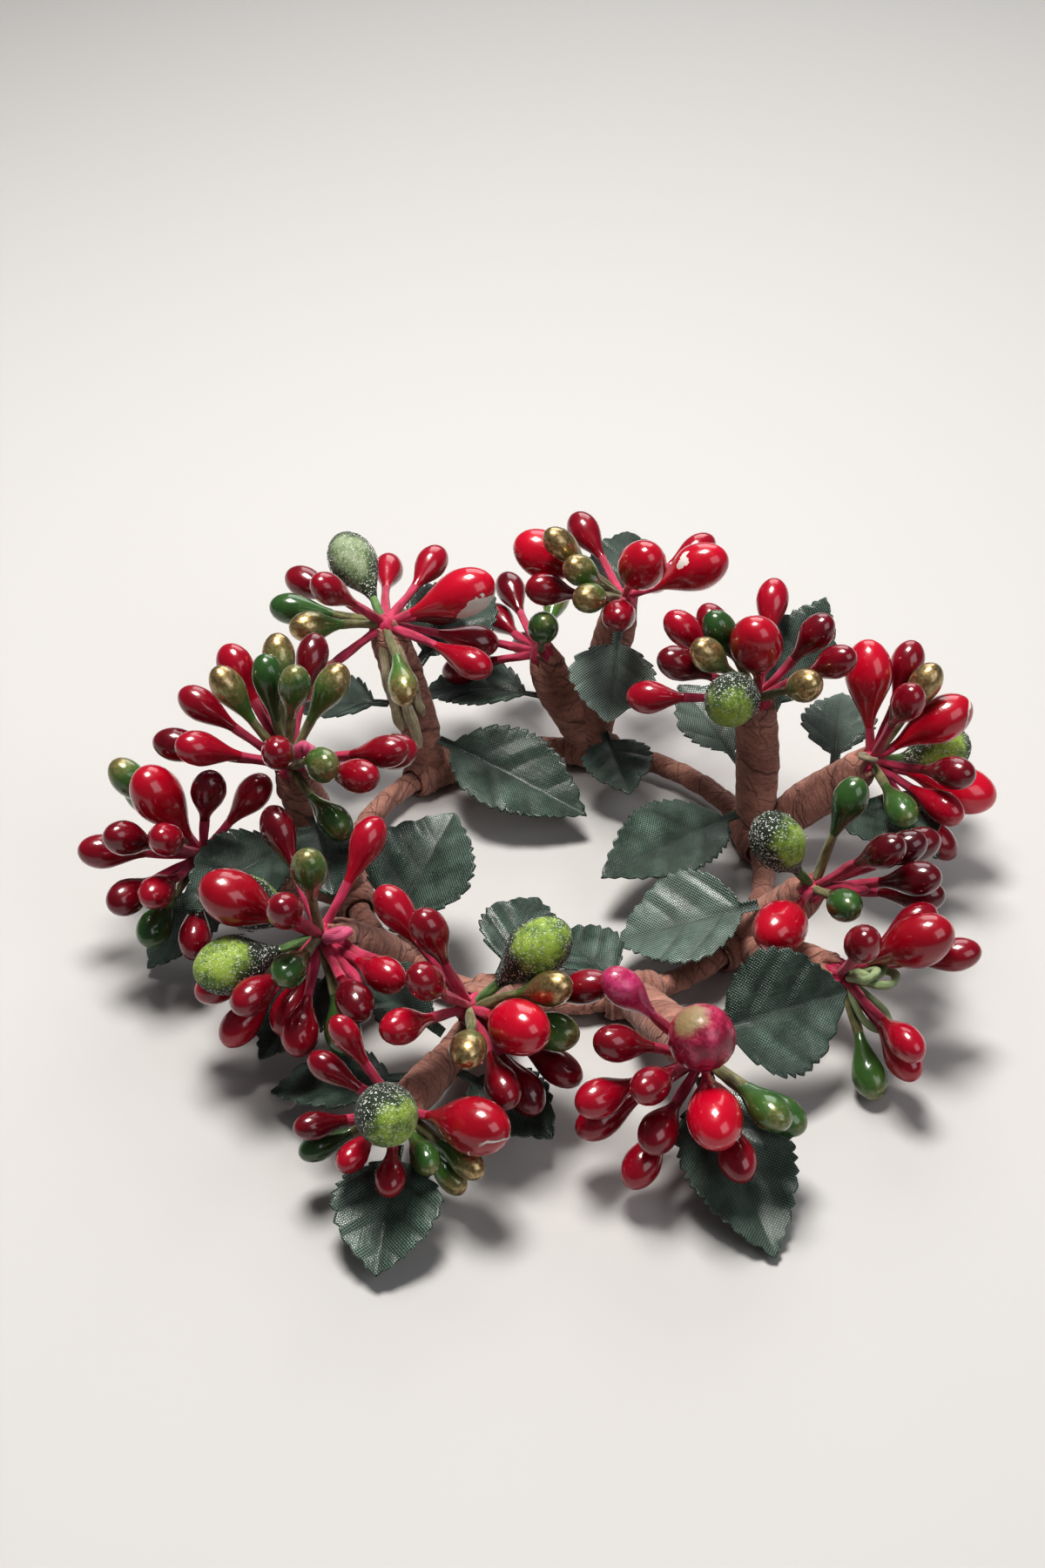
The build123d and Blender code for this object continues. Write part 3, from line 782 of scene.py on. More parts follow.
class Piece:
    """Patches gathered into one mesh object that rides on a body."""

    def __init__(self, name: str, finishes: Sequence[Material], smooth: bool = True) -> None:
        """Starts a piece.

        Args:
            name: the object's name.
            finishes: its materials, in the order that its patches number them.
            smooth: whether its faces are shaded smooth.
        """
        self.name = name
        self.finishes = finishes
        self.smooth = smooth
        self.patches: list[Patch] = []

    def add(self, *patches: Patch) -> None:
        """Adds patches."""
        self.patches.extend(patches)

    def make(self, body: str, slot: str, replaces: Sequence[str] = ()) -> bpy.types.Object:
        """Builds the mesh and sets it riding.

        Args:
            body: the body it moves with.
            slot: the record's material slot it takes; not used.
            replaces: the nodes it stands for.

        Returns:
            The object, at the origin.
        """
        counts = [p.points.shape[0] * p.points.shape[1] for p in self.patches]
        starts = np.concatenate([[0], np.cumsum(counts)[:-1]])
        parts = [p.corners() for p in self.patches]
        points = np.concatenate([p.points.reshape(-1, 3) for p in self.patches]) * MM
        quads = np.concatenate([q + s for (q, _, _), s in zip(parts, starts)])
        uv = np.concatenate([u.reshape(-1, 2) for _, u, _ in parts])
        finishes = np.concatenate([f for _, _, f in parts]).astype(np.int32)
        mesh = bpy.data.meshes.new(self.name)
        mesh.from_pydata(points.tolist(), [], quads.tolist())
        mesh.uv_layers.new(name="Wrap").data.foreach_set("uv", uv.ravel())
        mesh.polygons.foreach_set("material_index", finishes)
        mesh.polygons.foreach_set("use_smooth", np.full(len(quads), self.smooth))
        for key in sorted({k for p in self.patches for k in p.numbers}):
            grids = [np.broadcast_to(p.numbers.get(key, 0.0), p.points.shape[:2]) for p in self.patches]
            values = np.concatenate([grid.ravel() for grid in grids])
            mesh.attributes.new(key, "FLOAT", "POINT").data.foreach_set("value", values)
        for finish in self.finishes:
            mesh.materials.append(finish)
        obj = bpy.data.objects.new(self.name, mesh)
        bpy.context.scene.collection.objects.link(obj)
        close_poles(mesh)
        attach(obj, body)
        if replaces:
            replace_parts(obj, *replaces)
        LOG.info("%s: %d points, rides on %s", self.name, len(mesh.vertices), body)
        return obj


def close_poles(mesh: bpy.types.Mesh) -> None:
    """Joins points that lie together, which closes seams and poles."""
    work = bmesh.new()
    work.from_mesh(mesh)
    bmesh.ops.remove_doubles(work, verts=work.verts, dist=WELD)
    bmesh.ops.dissolve_degenerate(work, edges=work.edges, dist=WELD / 4)
    work.to_mesh(mesh)
    work.free()


def unit(vector: np.ndarray) -> np.ndarray:
    """A vector or vectors of length 1."""
    return vector / np.linalg.norm(vector, axis=-1, keepdims=True)


def heading(azimuth: float, elevation: float = 0.0) -> np.ndarray:
    """A direction from its azimuth and elevation in degrees."""
    a, e = math.radians(azimuth), math.radians(elevation)
    return np.array([math.cos(a) * math.cos(e), math.sin(a) * math.cos(e), math.sin(e)])


def across(axis: np.ndarray) -> tuple[np.ndarray, np.ndarray]:
    """Two directions square to an axis and to each other, the first level unless the axis is near upright."""
    helper = UP if abs(axis[2]) < 0.9 else np.array([1.0, 0.0, 0.0])
    first = unit(np.cross(helper, axis))
    return first, np.cross(axis, first)


def circle(columns: int) -> np.ndarray:
    """Angles once round, as one row."""
    return np.linspace(0, TURN, columns, endpoint=False)[None, :]


def spokes(theta: np.ndarray, first: np.ndarray, second: np.ndarray) -> np.ndarray:
    """Directions at angles: the cosine times the first direction plus the sine times the second."""
    return np.cos(theta)[..., None] * first + np.sin(theta)[..., None] * second


def lapped(phase: np.ndarray, climb: float, fall: float) -> np.ndarray:
    """A lap's profile: from 0 to 1 over the climb's share of the phase, and back to 0 over the fall's."""
    return np.minimum(phase / climb, (1 - phase) / fall)


def from_edge(phase: np.ndarray) -> np.ndarray:
    """How far a phase is from the nearest lap's edge, in laps."""
    return np.minimum(phase, 1 - phase)


def wrap_uv(along: np.ndarray, columns: int) -> np.ndarray:
    """UVs of a wrapped grid: the distance along it, and 0 to 1 round it.

    Args:
        along: one number for each row.
        columns: how many columns the grid has.

    Returns:
        Rows by columns + 1 by 2.
    """
    around = np.linspace(0, 1, columns + 1)
    return np.stack(np.broadcast_arrays(along[:, None], around[None, :]), axis=-1)


def ripple(seed: int, *places: np.ndarray, waves: int = 5, low: float = 1.0, high: float = 3.0) -> np.ndarray:
    """Smooth irregular relief: a sum of sine waves of seeded pitch and phase, about -1 to 1.

    Args:
        seed: sets the waves.
        places: the coordinates that they run over.
        waves: how many there are.
        low: the least pitch.
        high: the greatest pitch.

    Returns:
        The relief at each place.
    """
    chance = np.random.default_rng(SEED + seed)
    total = 0.0
    for _ in range(waves):
        angle = chance.uniform(0, TURN)
        for place in places:
            angle = angle + place * chance.uniform(low, high) * chance.choice([-1, 1])
        total = total + np.sin(angle)
    return total / math.sqrt(waves)


def solids(node: str) -> list[np.ndarray]:
    """The separate solids of a CAD node.

    Points that coincide are one point, and each triangle gives its points the least label among them until
    nothing changes, so each solid keeps one label.

    Args:
        node: the node's name.

    Returns:
        The points of each solid, in millimetres.
    """
    mesh = frame["nodes"][node].data
    points = np.empty(len(mesh.vertices) * 3, np.float32)
    mesh.vertices.foreach_get("co", points)
    mesh.calc_loop_triangles()
    triangles = np.empty(len(mesh.loop_triangles) * 3, np.int32)
    mesh.loop_triangles.foreach_get("vertices", triangles)
    keys = np.round(points.reshape(-1, 3).astype(float) / GRID).astype(np.int64)
    places, index = np.unique(keys, axis=0, return_inverse=True)
    triangles = index.ravel()[triangles].reshape(-1, 3)
    labels = np.arange(len(places))
    while True:
        least = labels[triangles].min(axis=1)
        before = labels.copy()
        np.minimum.at(labels, triangles.ravel(), np.repeat(least, 3))
        labels = labels[labels]
        if (labels == before).all():
            break
    return [places[labels == label] * GRID / MM for label in np.unique(labels)]


@dataclass
class Rod:
    """A solid of revolution found in a CAD node.

    Attributes:
        start: the middle of its first end.
        axis: from its first end to its last.
        length: from end to end.
        radius: its widest.
    """

    # How far from each end the points lie that its middle is taken from
    FIRST_END, LAST_END = 0.08, 0.02

    start: np.ndarray
    axis: np.ndarray
    length: float
    radius: float

    @classmethod
    def found(cls, points: np.ndarray, near: np.ndarray) -> "Rod":
        """Fits a rod to a solid's points.

        Args:
            points: the solid's points.
            near: a point that the rod starts nearer to.

        Returns:
            The rod, its axis from the mean of its first end's points to that of its last.
        """
        centre = points.mean(axis=0)
        axis = np.linalg.svd(points - centre, full_matrices=False)[2][0]
        if np.linalg.norm(centre - axis - near) > np.linalg.norm(centre + axis - near):
            axis = -axis
        height = (points - centre) @ axis
        first = points[height < height.min() + cls.FIRST_END].mean(axis=0)
        last = points[height > height.max() - cls.LAST_END].mean(axis=0)
        axis = unit(last - first)
        arms = points - first
        out = np.linalg.norm(arms - (arms @ axis)[:, None] * axis, axis=1)
        return cls(first, axis, float(np.linalg.norm(last - first)), float(out.max()))

    def end(self) -> np.ndarray:
        """The middle of its last end."""
        return self.start + self.axis * self.length


@dataclass
class Blade:
    """A leaf found in a CAD node: its frame, its size, and the height of its sheet over its frame's plane.

    Attributes:
        base: the middle of its base.
        ahead: from base to tip.
        side: to its left.
        up: off its upper face.
        length: from base to tip.
        width: across its widest.
        fit: numbers of the sheet's height: 1, x, x squared and the distance from the rib.
    """

    # How far from its base and its tip the points lie that their middles are taken from
    END = 0.05

    base: np.ndarray
    ahead: np.ndarray
    side: np.ndarray
    up: np.ndarray
    length: float
    width: float
    fit: np.ndarray

    @classmethod
    def found(cls, points: np.ndarray, near: np.ndarray) -> "Blade":
        """Fits a leaf to a solid's points.

        It runs from its nearest point to its farthest, moved to the middles of those ends in three rounds.
        A first fit of its height gives its tilt, and a second one its fold and droop.

        Args:
            points: the solid's points.
            near: a point of the stem that its base is nearest to.

        Returns:
            The leaf.
        """
        base = points[np.argmin(np.linalg.norm(points - near, axis=1))]
        tip = points[np.argmax(np.linalg.norm(points - base, axis=1))]
        ahead = unit(tip - base)
        arms = points - base
        spread = arms - (arms @ ahead)[:, None] * ahead
        normal = np.linalg.svd(spread, full_matrices=False)[2][1]
        side = unit(np.cross(normal if normal[2] > 0 else -normal, ahead))
        up = np.cross(ahead, side)
        for _ in range(3):
            x = (points - base) @ ahead
            tip = points[x > x.max() - cls.END].mean(axis=0)
            base = points[x < cls.END].mean(axis=0)
            ahead = unit(tip - base)
            side = unit(np.cross(up, ahead))
            up = np.cross(ahead, side)
        x, y, z = ((points - base) @ axis for axis in (ahead, side, up))
        tilt = math.atan(cls.heights(x, y, z, y)[-1])
        level = side
        side = level * math.cos(tilt) + up * math.sin(tilt)
        up = up * math.cos(tilt) - level * math.sin(tilt)
        x, y, z = ((points - base) @ axis for axis in (ahead, side, up))
        return cls(base, ahead, side, up, float(x.max()), float(y.max() - y.min()), cls.heights(x, y, z))

    @staticmethod
    def heights(x: np.ndarray, y: np.ndarray, z: np.ndarray, *more: np.ndarray) -> np.ndarray:
        """Fits a sheet's height by least squares.

        Args:
            x: places along the leaf.
            y: places across it.
            z: the height at each.
            more: further terms.

        Returns:
            The numbers of 1, x, x squared, the distance from the rib and each further term.
        """
        terms = np.stack([np.ones_like(x), x, x * x, np.abs(y), *more], axis=1)
        return np.linalg.lstsq(terms, z, rcond=None)[0]

    def unfolded(self) -> float:
        """How much wider it is when its fold along the rib is flattened."""
        return math.sqrt(1 + self.fit[3] ** 2)


@dataclass
class Hoop:
    """The hoop: brown tape wound along a wire ring.

    Attributes:
        radius: of its centre line.
        height: of its centre line.
        tape: its radius through the tape.
        lap: how far the tape goes on in each turn.
        sunk: how far under that radius a turn's low edge lies.
        step: how far a turn climbs onto the last.
        crinkle: how far its wrinkles stand out.
    """

    radius: float
    height: float
    tape: float
    lap: float = 4.2
    sunk: float = 0.14
    step: float = 0.16
    crinkle: float = 0.045

    @classmethod
    def found(cls) -> "Hoop":
        """Reads the hoop's sizes from its node's box."""
        low, high = (np.array(corner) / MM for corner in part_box("hoop_tape"))
        tape = (high[2] - low[2]) / 2
        return cls((high[0] - low[0]) / 2 - tape, (high[2] + low[2]) / 2, tape)

    def around(self, angle: np.ndarray, theta: np.ndarray, radii: np.ndarray) -> np.ndarray:
        """Points about the hoop's line: circles carried round the ring.

        Args:
            angle: places round the ring, one to a row.
            theta: angles about the hoop's line, one to a column.
            radii: the distance of each point from that line.

        Returns:
            Rows by columns by 3.
        """
        out = self.radius + radii * np.cos(theta)
        level = self.height + radii * np.sin(theta)
        return np.stack([out * np.cos(angle), out * np.sin(angle), level], axis=-1)

    def build(self, paper: Material) -> None:
        """Makes the wound tape: a ring whose radius steps along a helix, where each turn laps the last."""
        rows, columns = 900, 24
        turn = np.linspace(0, TURN, rows)[:, None]
        theta = circle(columns)
        laps = round(TURN * self.radius / self.lap)
        phase = (turn * laps / TURN + theta / TURN) % 1.0
        coarse = ripple(1, turn * 40, theta * 2, low=1, high=2)
        fine = ripple(2, turn * 110, theta * 3, low=1, high=2)
        wrinkle = coarse * 0.5 + fine * 0.5
        # Wrinkles die out where the ring's ends meet, so that the seam closes
        seam = np.clip(np.minimum(turn, TURN - turn) * 20, 0, 1)
        step = lapped(phase, climb=0.85, fall=0.15)
        r = self.tape - self.sunk + self.step * step + self.crinkle * wrinkle * seam
        points = self.around(turn, theta, r)
        uv = wrap_uv(turn[:, 0] * self.radius, columns)
        piece = Piece("hoop_wound_tape", [paper])
        piece.add(Patch(points[::-1], uv, True, {"lap": from_edge(phase)[::-1]}))
        piece.make("hoop", "paper_tape", ["hoop_tape"])


@dataclass
class Stem:
    """One taped stem of a pick, from the hoop to the mouth its pips come out of.

    Attributes:
        start: on the hoop's line.
        gather: where its pips' stalks meet.
        belly: its widest radius.
        foot: its radius at the hoop.
        neck: its radius at the mouth.
        lap: how far the tape climbs in each turn.
        sunk: how far under its own radius a turn's low edge lies.
        step: how far a turn's edge stands over the one below.
        wrinkle: how far its wrinkles stand out.
        crinkle: the same for its fine ones.
        bow: how far it bows to one side.
        mouth: the share of its length that its torn mouth takes.
        pucker: how deep the mouth's puckers are.
        draw: how far the mouth draws in.
        tear: how much its tears open it again.
        lip: how thick the paper is at the mouth.
        depths: how far down the two rows inside the mouth lie.
    """

    start: np.ndarray
    gather: np.ndarray
    belly: float = 2.9
    foot: float = 2.1
    neck: float = 2.4
    lap: float = 9.5
    sunk: float = 0.14
    step: float = 0.2
    wrinkle: float = 0.07
    crinkle: float = 0.035
    bow: float = 0.35
    mouth: float = 0.14
    pucker: float = 0.14
    draw: float = 0.8
    tear: float = 0.35
    lip: float = 0.35
    depths: tuple[float, float] = (0.9, 2.2)

    def patch(self, seed: int) -> Patch:
        """The wound paper: a barrel whose radius steps along a helix, with a torn, puckered mouth.

        The barrel is a straight taper plus a parabola, and its wrinkles are ripples. At the mouth the radius
        draws in with the square of the way along it, and three waves round it lift and open its edge.

        Args:
            seed: sets what is uneven about it.

        Returns:
            The patch, closed at the foot and inside the mouth.
        """
        rows, columns = 110, 48
        line = self.gather - self.start
        length = np.linalg.norm(line)
        axis = line / length
        first, second = across(axis)
        share = np.linspace(0.0, 1.0, rows)[:, None]
        theta = circle(columns)
        taper = self.foot * (1 - share) + self.neck * share
        barrel = taper + (self.belly - (self.foot + self.neck) / 2) * 4 * share * (1 - share)
        mouth = np.clip((share - (1 - self.mouth)) / self.mouth, 0, 1)
        wander = 0.04 * np.sin(theta * 2 + seed) + 0.012 * np.sin(theta * 9 + 2 * seed)
        phase = (share * length / self.lap + theta / TURN + 0.37 * seed + wander) % 1.0
        lap = lapped(phase, climb=0.06, fall=0.94)
        wrinkle = ripple(seed, share * length * 0.5, theta, low=0.5, high=1.2, waves=6)
        fine = ripple(seed + 40, share * length * 2.5, theta * 3.0, low=0.7, high=1.6, waves=6)
        pucker = np.cos(theta * 7 + seed) * mouth
        torn = 0.75 * np.sin(theta * 5 + seed) + 0.5 * np.sin(theta * 8 + 2 * seed)
        torn = torn + 0.25 * np.sin(theta * 17)
        r = barrel - self.sunk + self.step * lap + self.wrinkle * wrinkle + self.crinkle * fine
        r = r + self.pucker * pucker - (self.draw - self.tear * torn) * mouth**2
        r[0] = 0.0
        height = share * (length - 0.2) + torn * mouth**3
        bow = self.bow * np.sin(math.pi * share)
        centre = self.start + height[..., None] * axis
        for amount, way in ((math.cos(seed), first), (math.sin(seed), second)):
            centre = centre + (bow * amount)[..., None] * way
        ring = spokes(theta, first, second)
        points = centre + r[..., None] * ring
        inside = np.stack([r[-1] - self.lip, np.zeros(columns)])
        inner = centre[-1:] - axis * np.array(self.depths)[:, None, None] + inside[..., None] * ring
        inner[-1] = inner[-1].mean(axis=0)
        uv = wrap_uv(np.linspace(0, length + 3, rows + 2), columns)
        edge = np.concatenate([from_edge(phase), np.full(inner.shape[:2], 0.5)])
        return Patch(np.concatenate([points, inner]), uv, True, {"lap": edge})


@dataclass
class Binding:
    """The tail of a pick's tape, wound round the hoop.

    Attributes:
        hoop: the hoop it winds on.
        angle: where it sits, in radians.
        length: along the hoop.
        bore: its inner radius.
        wall: its greatest thickness.
        rim: how thick it is at its ends.
        step: how far a turn's edge stands over the one below.
        wrinkle: how far its wrinkles stand out.
        turns: how many turns of tape each half of it has.
        clear: how far it stays above the floor.
    """

    hoop: Hoop
    angle: float
    length: float = 7.4
    bore: float = 1.8
    wall: float = 0.8
    rim: float = 0.1
    step: float = 0.22
    wrinkle: float = 0.07
    turns: float = 2.1
    clear: float = 0.02

    def patch(self, seed: int) -> Patch:
        """A sleeve along the hoop: out over its wound turns, round each end and back inside.

        Args:
            seed: sets what is uneven about it.

        Returns:
            The patch, drawn in underneath to clear the floor.
        """
        rows, columns, inside = 56, 30, 4
        half = self.length / 2 / self.hoop.radius
        share = np.linspace(-1, 1, rows)[:, None]
        theta = circle(columns)
        phase = (share * self.turns + theta / TURN + 0.3 * seed) % 1.0
        step = lapped(phase, climb=0.8, fall=0.2)
        taper = np.clip((1 - np.abs(share)) * 4, 0, 1) ** 0.6
        wrinkle = ripple(seed + 7, share * 6, theta * 2, low=0.6, high=1.5)
        outer = self.bore + self.rim + (self.wall * 0.75 + self.step * step + self.wrinkle * wrinkle) * taper
        room = np.where(np.sin(theta) > -0.6, math.inf, self.hoop.height - self.clear)
        outer = np.minimum(outer, room)
        inner = np.full((inside, columns), self.bore)
        spots = np.concatenate([share[:, 0], np.linspace(0.98, -0.98, inside), share[:1, 0]])
        radii = np.concatenate([outer, inner, outer[:1]])
        points = self.hoop.around(self.angle + spots[:, None] * half, theta, radii)
        edge = from_edge(phase)
        edge = np.concatenate([edge, np.full(inner.shape, 0.5), edge[:1]])
        return Patch(points[::-1], wrap_uv(spots * self.length, columns), True, {"lap": edge[::-1]})


@dataclass(frozen=True)
class PipShape:
    """How one kind of pip is dipped.

    Attributes:
        stalk: the thread's radius.
        collar: how far the dipping stands off the thread where it starts.
        dip: how far back from its girth the dipping goes, in girths.
        cap: how long the drop is past its girth, in girths.
        swell: how full the shoulder is; less is fuller.
        bend: how far its stalk bows to one side.
        inside: how far from the gather's middle its thread starts.
        girths: the least and the most that a girth is of its solid's.
        dips: the least and the most that a dipping's reach is of the usual.
        flat: how far from round a drop may be.
        ripe: how bright its pips get; less is nearer to wine in a red one, to plain green in a bud, and
            below 0 to sage in a frosted berry.
    """

    stalk: float = 0.58
    collar: float = 0.05
    dip: float = 2.5
    cap: float = CAP
    swell: float = 0.95
    bend: float = 0.25
    inside: float = 1.0
    girths: tuple[float, float] = (0.97, 1.05)
    dips: tuple[float, float] = (0.9, 1.08)
    flat: float = 0.06
    ripe: float = 1.0

    def patch(self, rod: Rod, gather: np.ndarray, seed: int, mark: Mark | None = None) -> Patch:
        """One pip: a twisted thread that swells into a dipped drop.

        The radius is the thread's up to the neck, a smooth step to the drop's girth, and an ellipse from
        there to the tip. The thread's radius waves twice and five times round and slowly along, like floss.

        Args:
            rod: the pip's solid.
            gather: the middle of its bunch.
            seed: sets its bow, its tone and its unevenness.
            mark: what sets it apart, if anything does.

        Returns:
            The patch, finish 0 on the thread and 1 on the dipped part.
        """
        chance = np.random.default_rng(SEED * 100 + seed)
        columns, thread_rows, flare_rows, cap_rows = 20, 22, 14, 11
        tip = float((rod.end() - gather) @ rod.axis)
        girth = rod.radius * chance.uniform(*self.girths)
        head = tip - self.cap * rod.radius
        neck = head - self.dip * rod.radius * chance.uniform(*self.dips)
        thread = np.linspace(self.inside, neck, thread_rows)
        flare = neck + (head - neck) * np.linspace(0, 1, flare_rows + 1)[1:]
        cap = head + (tip - head) * np.sin(np.linspace(0, math.pi / 2, cap_rows + 1)[1:])
        d = np.concatenate([thread, flare, cap])
        t = np.clip((d - neck) / (head - neck), 0, 1)
        rise = (t * t * (3 - 2 * t)) ** self.swell
        drop = self.stalk + self.collar + (girth - self.stalk - self.collar) * rise
        over = np.clip((d - head) / (tip - head), 0, 1)
        r = np.where(d <= neck, self.stalk, drop * np.sqrt(np.maximum(0, 1 - over * over)))
        r[0] = 0.0
        theta = circle(columns)
        along = d[:, None]
        strands = 0.1 * np.cos(2 * theta - along * 0.9 + seed) + 0.06 * np.cos(5 * theta + along * 0.7)
        ply = np.where(along <= neck, strands, 0.0)
        flat = chance.uniform(-self.flat, self.flat)
        squash = 1 + flat * np.cos(2 * theta + chance.uniform(0, 6)) * t[:, None]
        first, second = across(rod.axis)
        angle = chance.uniform(0, TURN)
        bow = self.bend * np.sin(math.pi * np.clip((d - self.inside) / (head - self.inside), 0, 1)) ** 2
        aside = math.cos(angle) * first + math.sin(angle) * second
        line = gather + along * rod.axis + bow[:, None] * aside
        points = line[:, None] + (r[:, None] * (1 + ply) * squash)[..., None] * spokes(theta, first, second)
        tone = np.full(points.shape[:2], chance.uniform(0, 1) * self.ripe)
        numbers = {"tone": tone, **self.wear(points, gather + head * rod.axis, girth, mark)}
        return Patch(points, wrap_uv(d / tip, columns), True, numbers, (d[1:] > neck).astype(np.int32))

    @staticmethod
    def wear(
        points: np.ndarray, middle: np.ndarray, girth: float, mark: Mark | None
    ) -> dict[str, np.ndarray]:
        """The numbers that wear is drawn from.

        A chip and a crack hold the wear's size less the distance from its centre on the head, in millimetres.
        A zone holds the cosine between a point's direction from the head's middle and the side that is bare.

        Args:
            points: the pip's points.
            middle: the head's middle.
            girth: the head's radius.
            mark: what sets the pip apart, if anything does.

        Returns:
            Arrays of a number for each point, by attribute name.
        """
        side = heading(*(mark.side if mark else BARE_SIDE))
        none = np.full(points.shape[:2], UNWORN)
        numbers = {"chip": none, "crack": none, "zone": unit(points - middle + 1e-6) @ side}
        holders = {Wear.CHIP: "chip", Wear.ZONE: "chip", Wear.CRACK: "crack"}
        if mark and mark.wear in holders:
            away = np.linalg.norm(points - middle - side * girth, axis=-1)
            numbers[holders[mark.wear]] = mark.size - away
        return numbers


@dataclass
class Thread:
    """A loose end or loop of thread at a bunch.

    Attributes:
        start: where it leaves the bunch.
        way: where it goes.
        reach: how far it goes.
        loop: how wide it loops, or 0 for a single end.
        sag: how far it drops.
        radius: of the thread.
        bulge: how far it is carried to a side.
    """

    start: np.ndarray
    way: np.ndarray
    reach: float
    loop: float
    sag: float
    radius: float
    bulge: np.ndarray

    def patch(self, seed: int, finish: int) -> Patch:
        """The thread: out and back along a sine with its sides apart for a loop, or out along a falling line.

        A bulge carries it sideways as the square root of the way along, so that it clears what it lies on.

        Args:
            seed: sets what is uneven about it.
            finish: its finish's place in the piece's list.

        Returns:
            The patch.
        """
        rows, columns = 60, 10
        t = np.linspace(0, 1, rows)
        theta = circle(columns)
        first, second = across(self.way)
        out = self.reach * (np.sin(math.pi * t) if self.loop else t)
        side = self.loop * np.sin(TURN * t) + 0.3 * ripple(seed, t * 5) * t * (1 - t) * 2
        lift = 0.5 * ripple(seed + 3, t * 6) * t - self.sag * out * out / self.reach**2
        line = self.start + out[:, None] * self.way + side[:, None] * first + lift[:, None] * UP
        line = line + np.sqrt(np.sin(math.pi / 2 * np.clip(t * 1.6, 0, 1)))[:, None] * self.bulge
        along = unit(np.gradient(line, axis=0))
        left = unit(np.cross(along, second + 0.37 * self.way))
        ring = spokes(theta, left[:, None], np.cross(along, left)[:, None])
        length = np.concatenate([[0], np.cumsum(np.linalg.norm(np.diff(line, axis=0), axis=1))])
        far = length[:, None]
        ply = 1 + 0.12 * np.cos(2 * theta - far * 1.2) + 0.06 * np.cos(5 * theta + far)
        taper = np.minimum(1, np.minimum(t * 60, np.sqrt((1 - t) * 9)) + 0.05)
        points = line[:, None] + ((self.radius * taper)[:, None] * ply)[..., None] * ring
        points[0], points[-1] = line[0], line[-1]
        return Patch(points, wrap_uv(length / 15, columns), True, {}, finish)


@dataclass
class Knot:
    """The bunch of threads in a stem's mouth.

    Attributes:
        centre: its middle.
        axis: up the stem.
        radius: its size.
        strands: how many threads show round it.
        wave: how far they stand out, in radii.
    """

    centre: np.ndarray
    axis: np.ndarray
    radius: float = 1.75
    strands: int = 9
    wave: float = 0.1

    def patch(self, seed: int) -> Patch:
        """A ball whose radius waves round the axis, as threads laid side by side do."""
        rows, columns = 14, 32
        polar = np.linspace(math.pi, 0, rows)[:, None]
        theta = circle(columns)
        strands = np.cos(theta * self.strands + seed + 2 * polar)
        r = self.radius * (1 + self.wave * strands * np.sin(polar))
        out = (r * np.sin(polar))[..., None] * spokes(theta, *across(self.axis))
        points = self.centre + out + (r * np.cos(polar))[..., None] * self.axis
        return Patch(points, wrap_uv(polar[:, 0] / 6, columns))


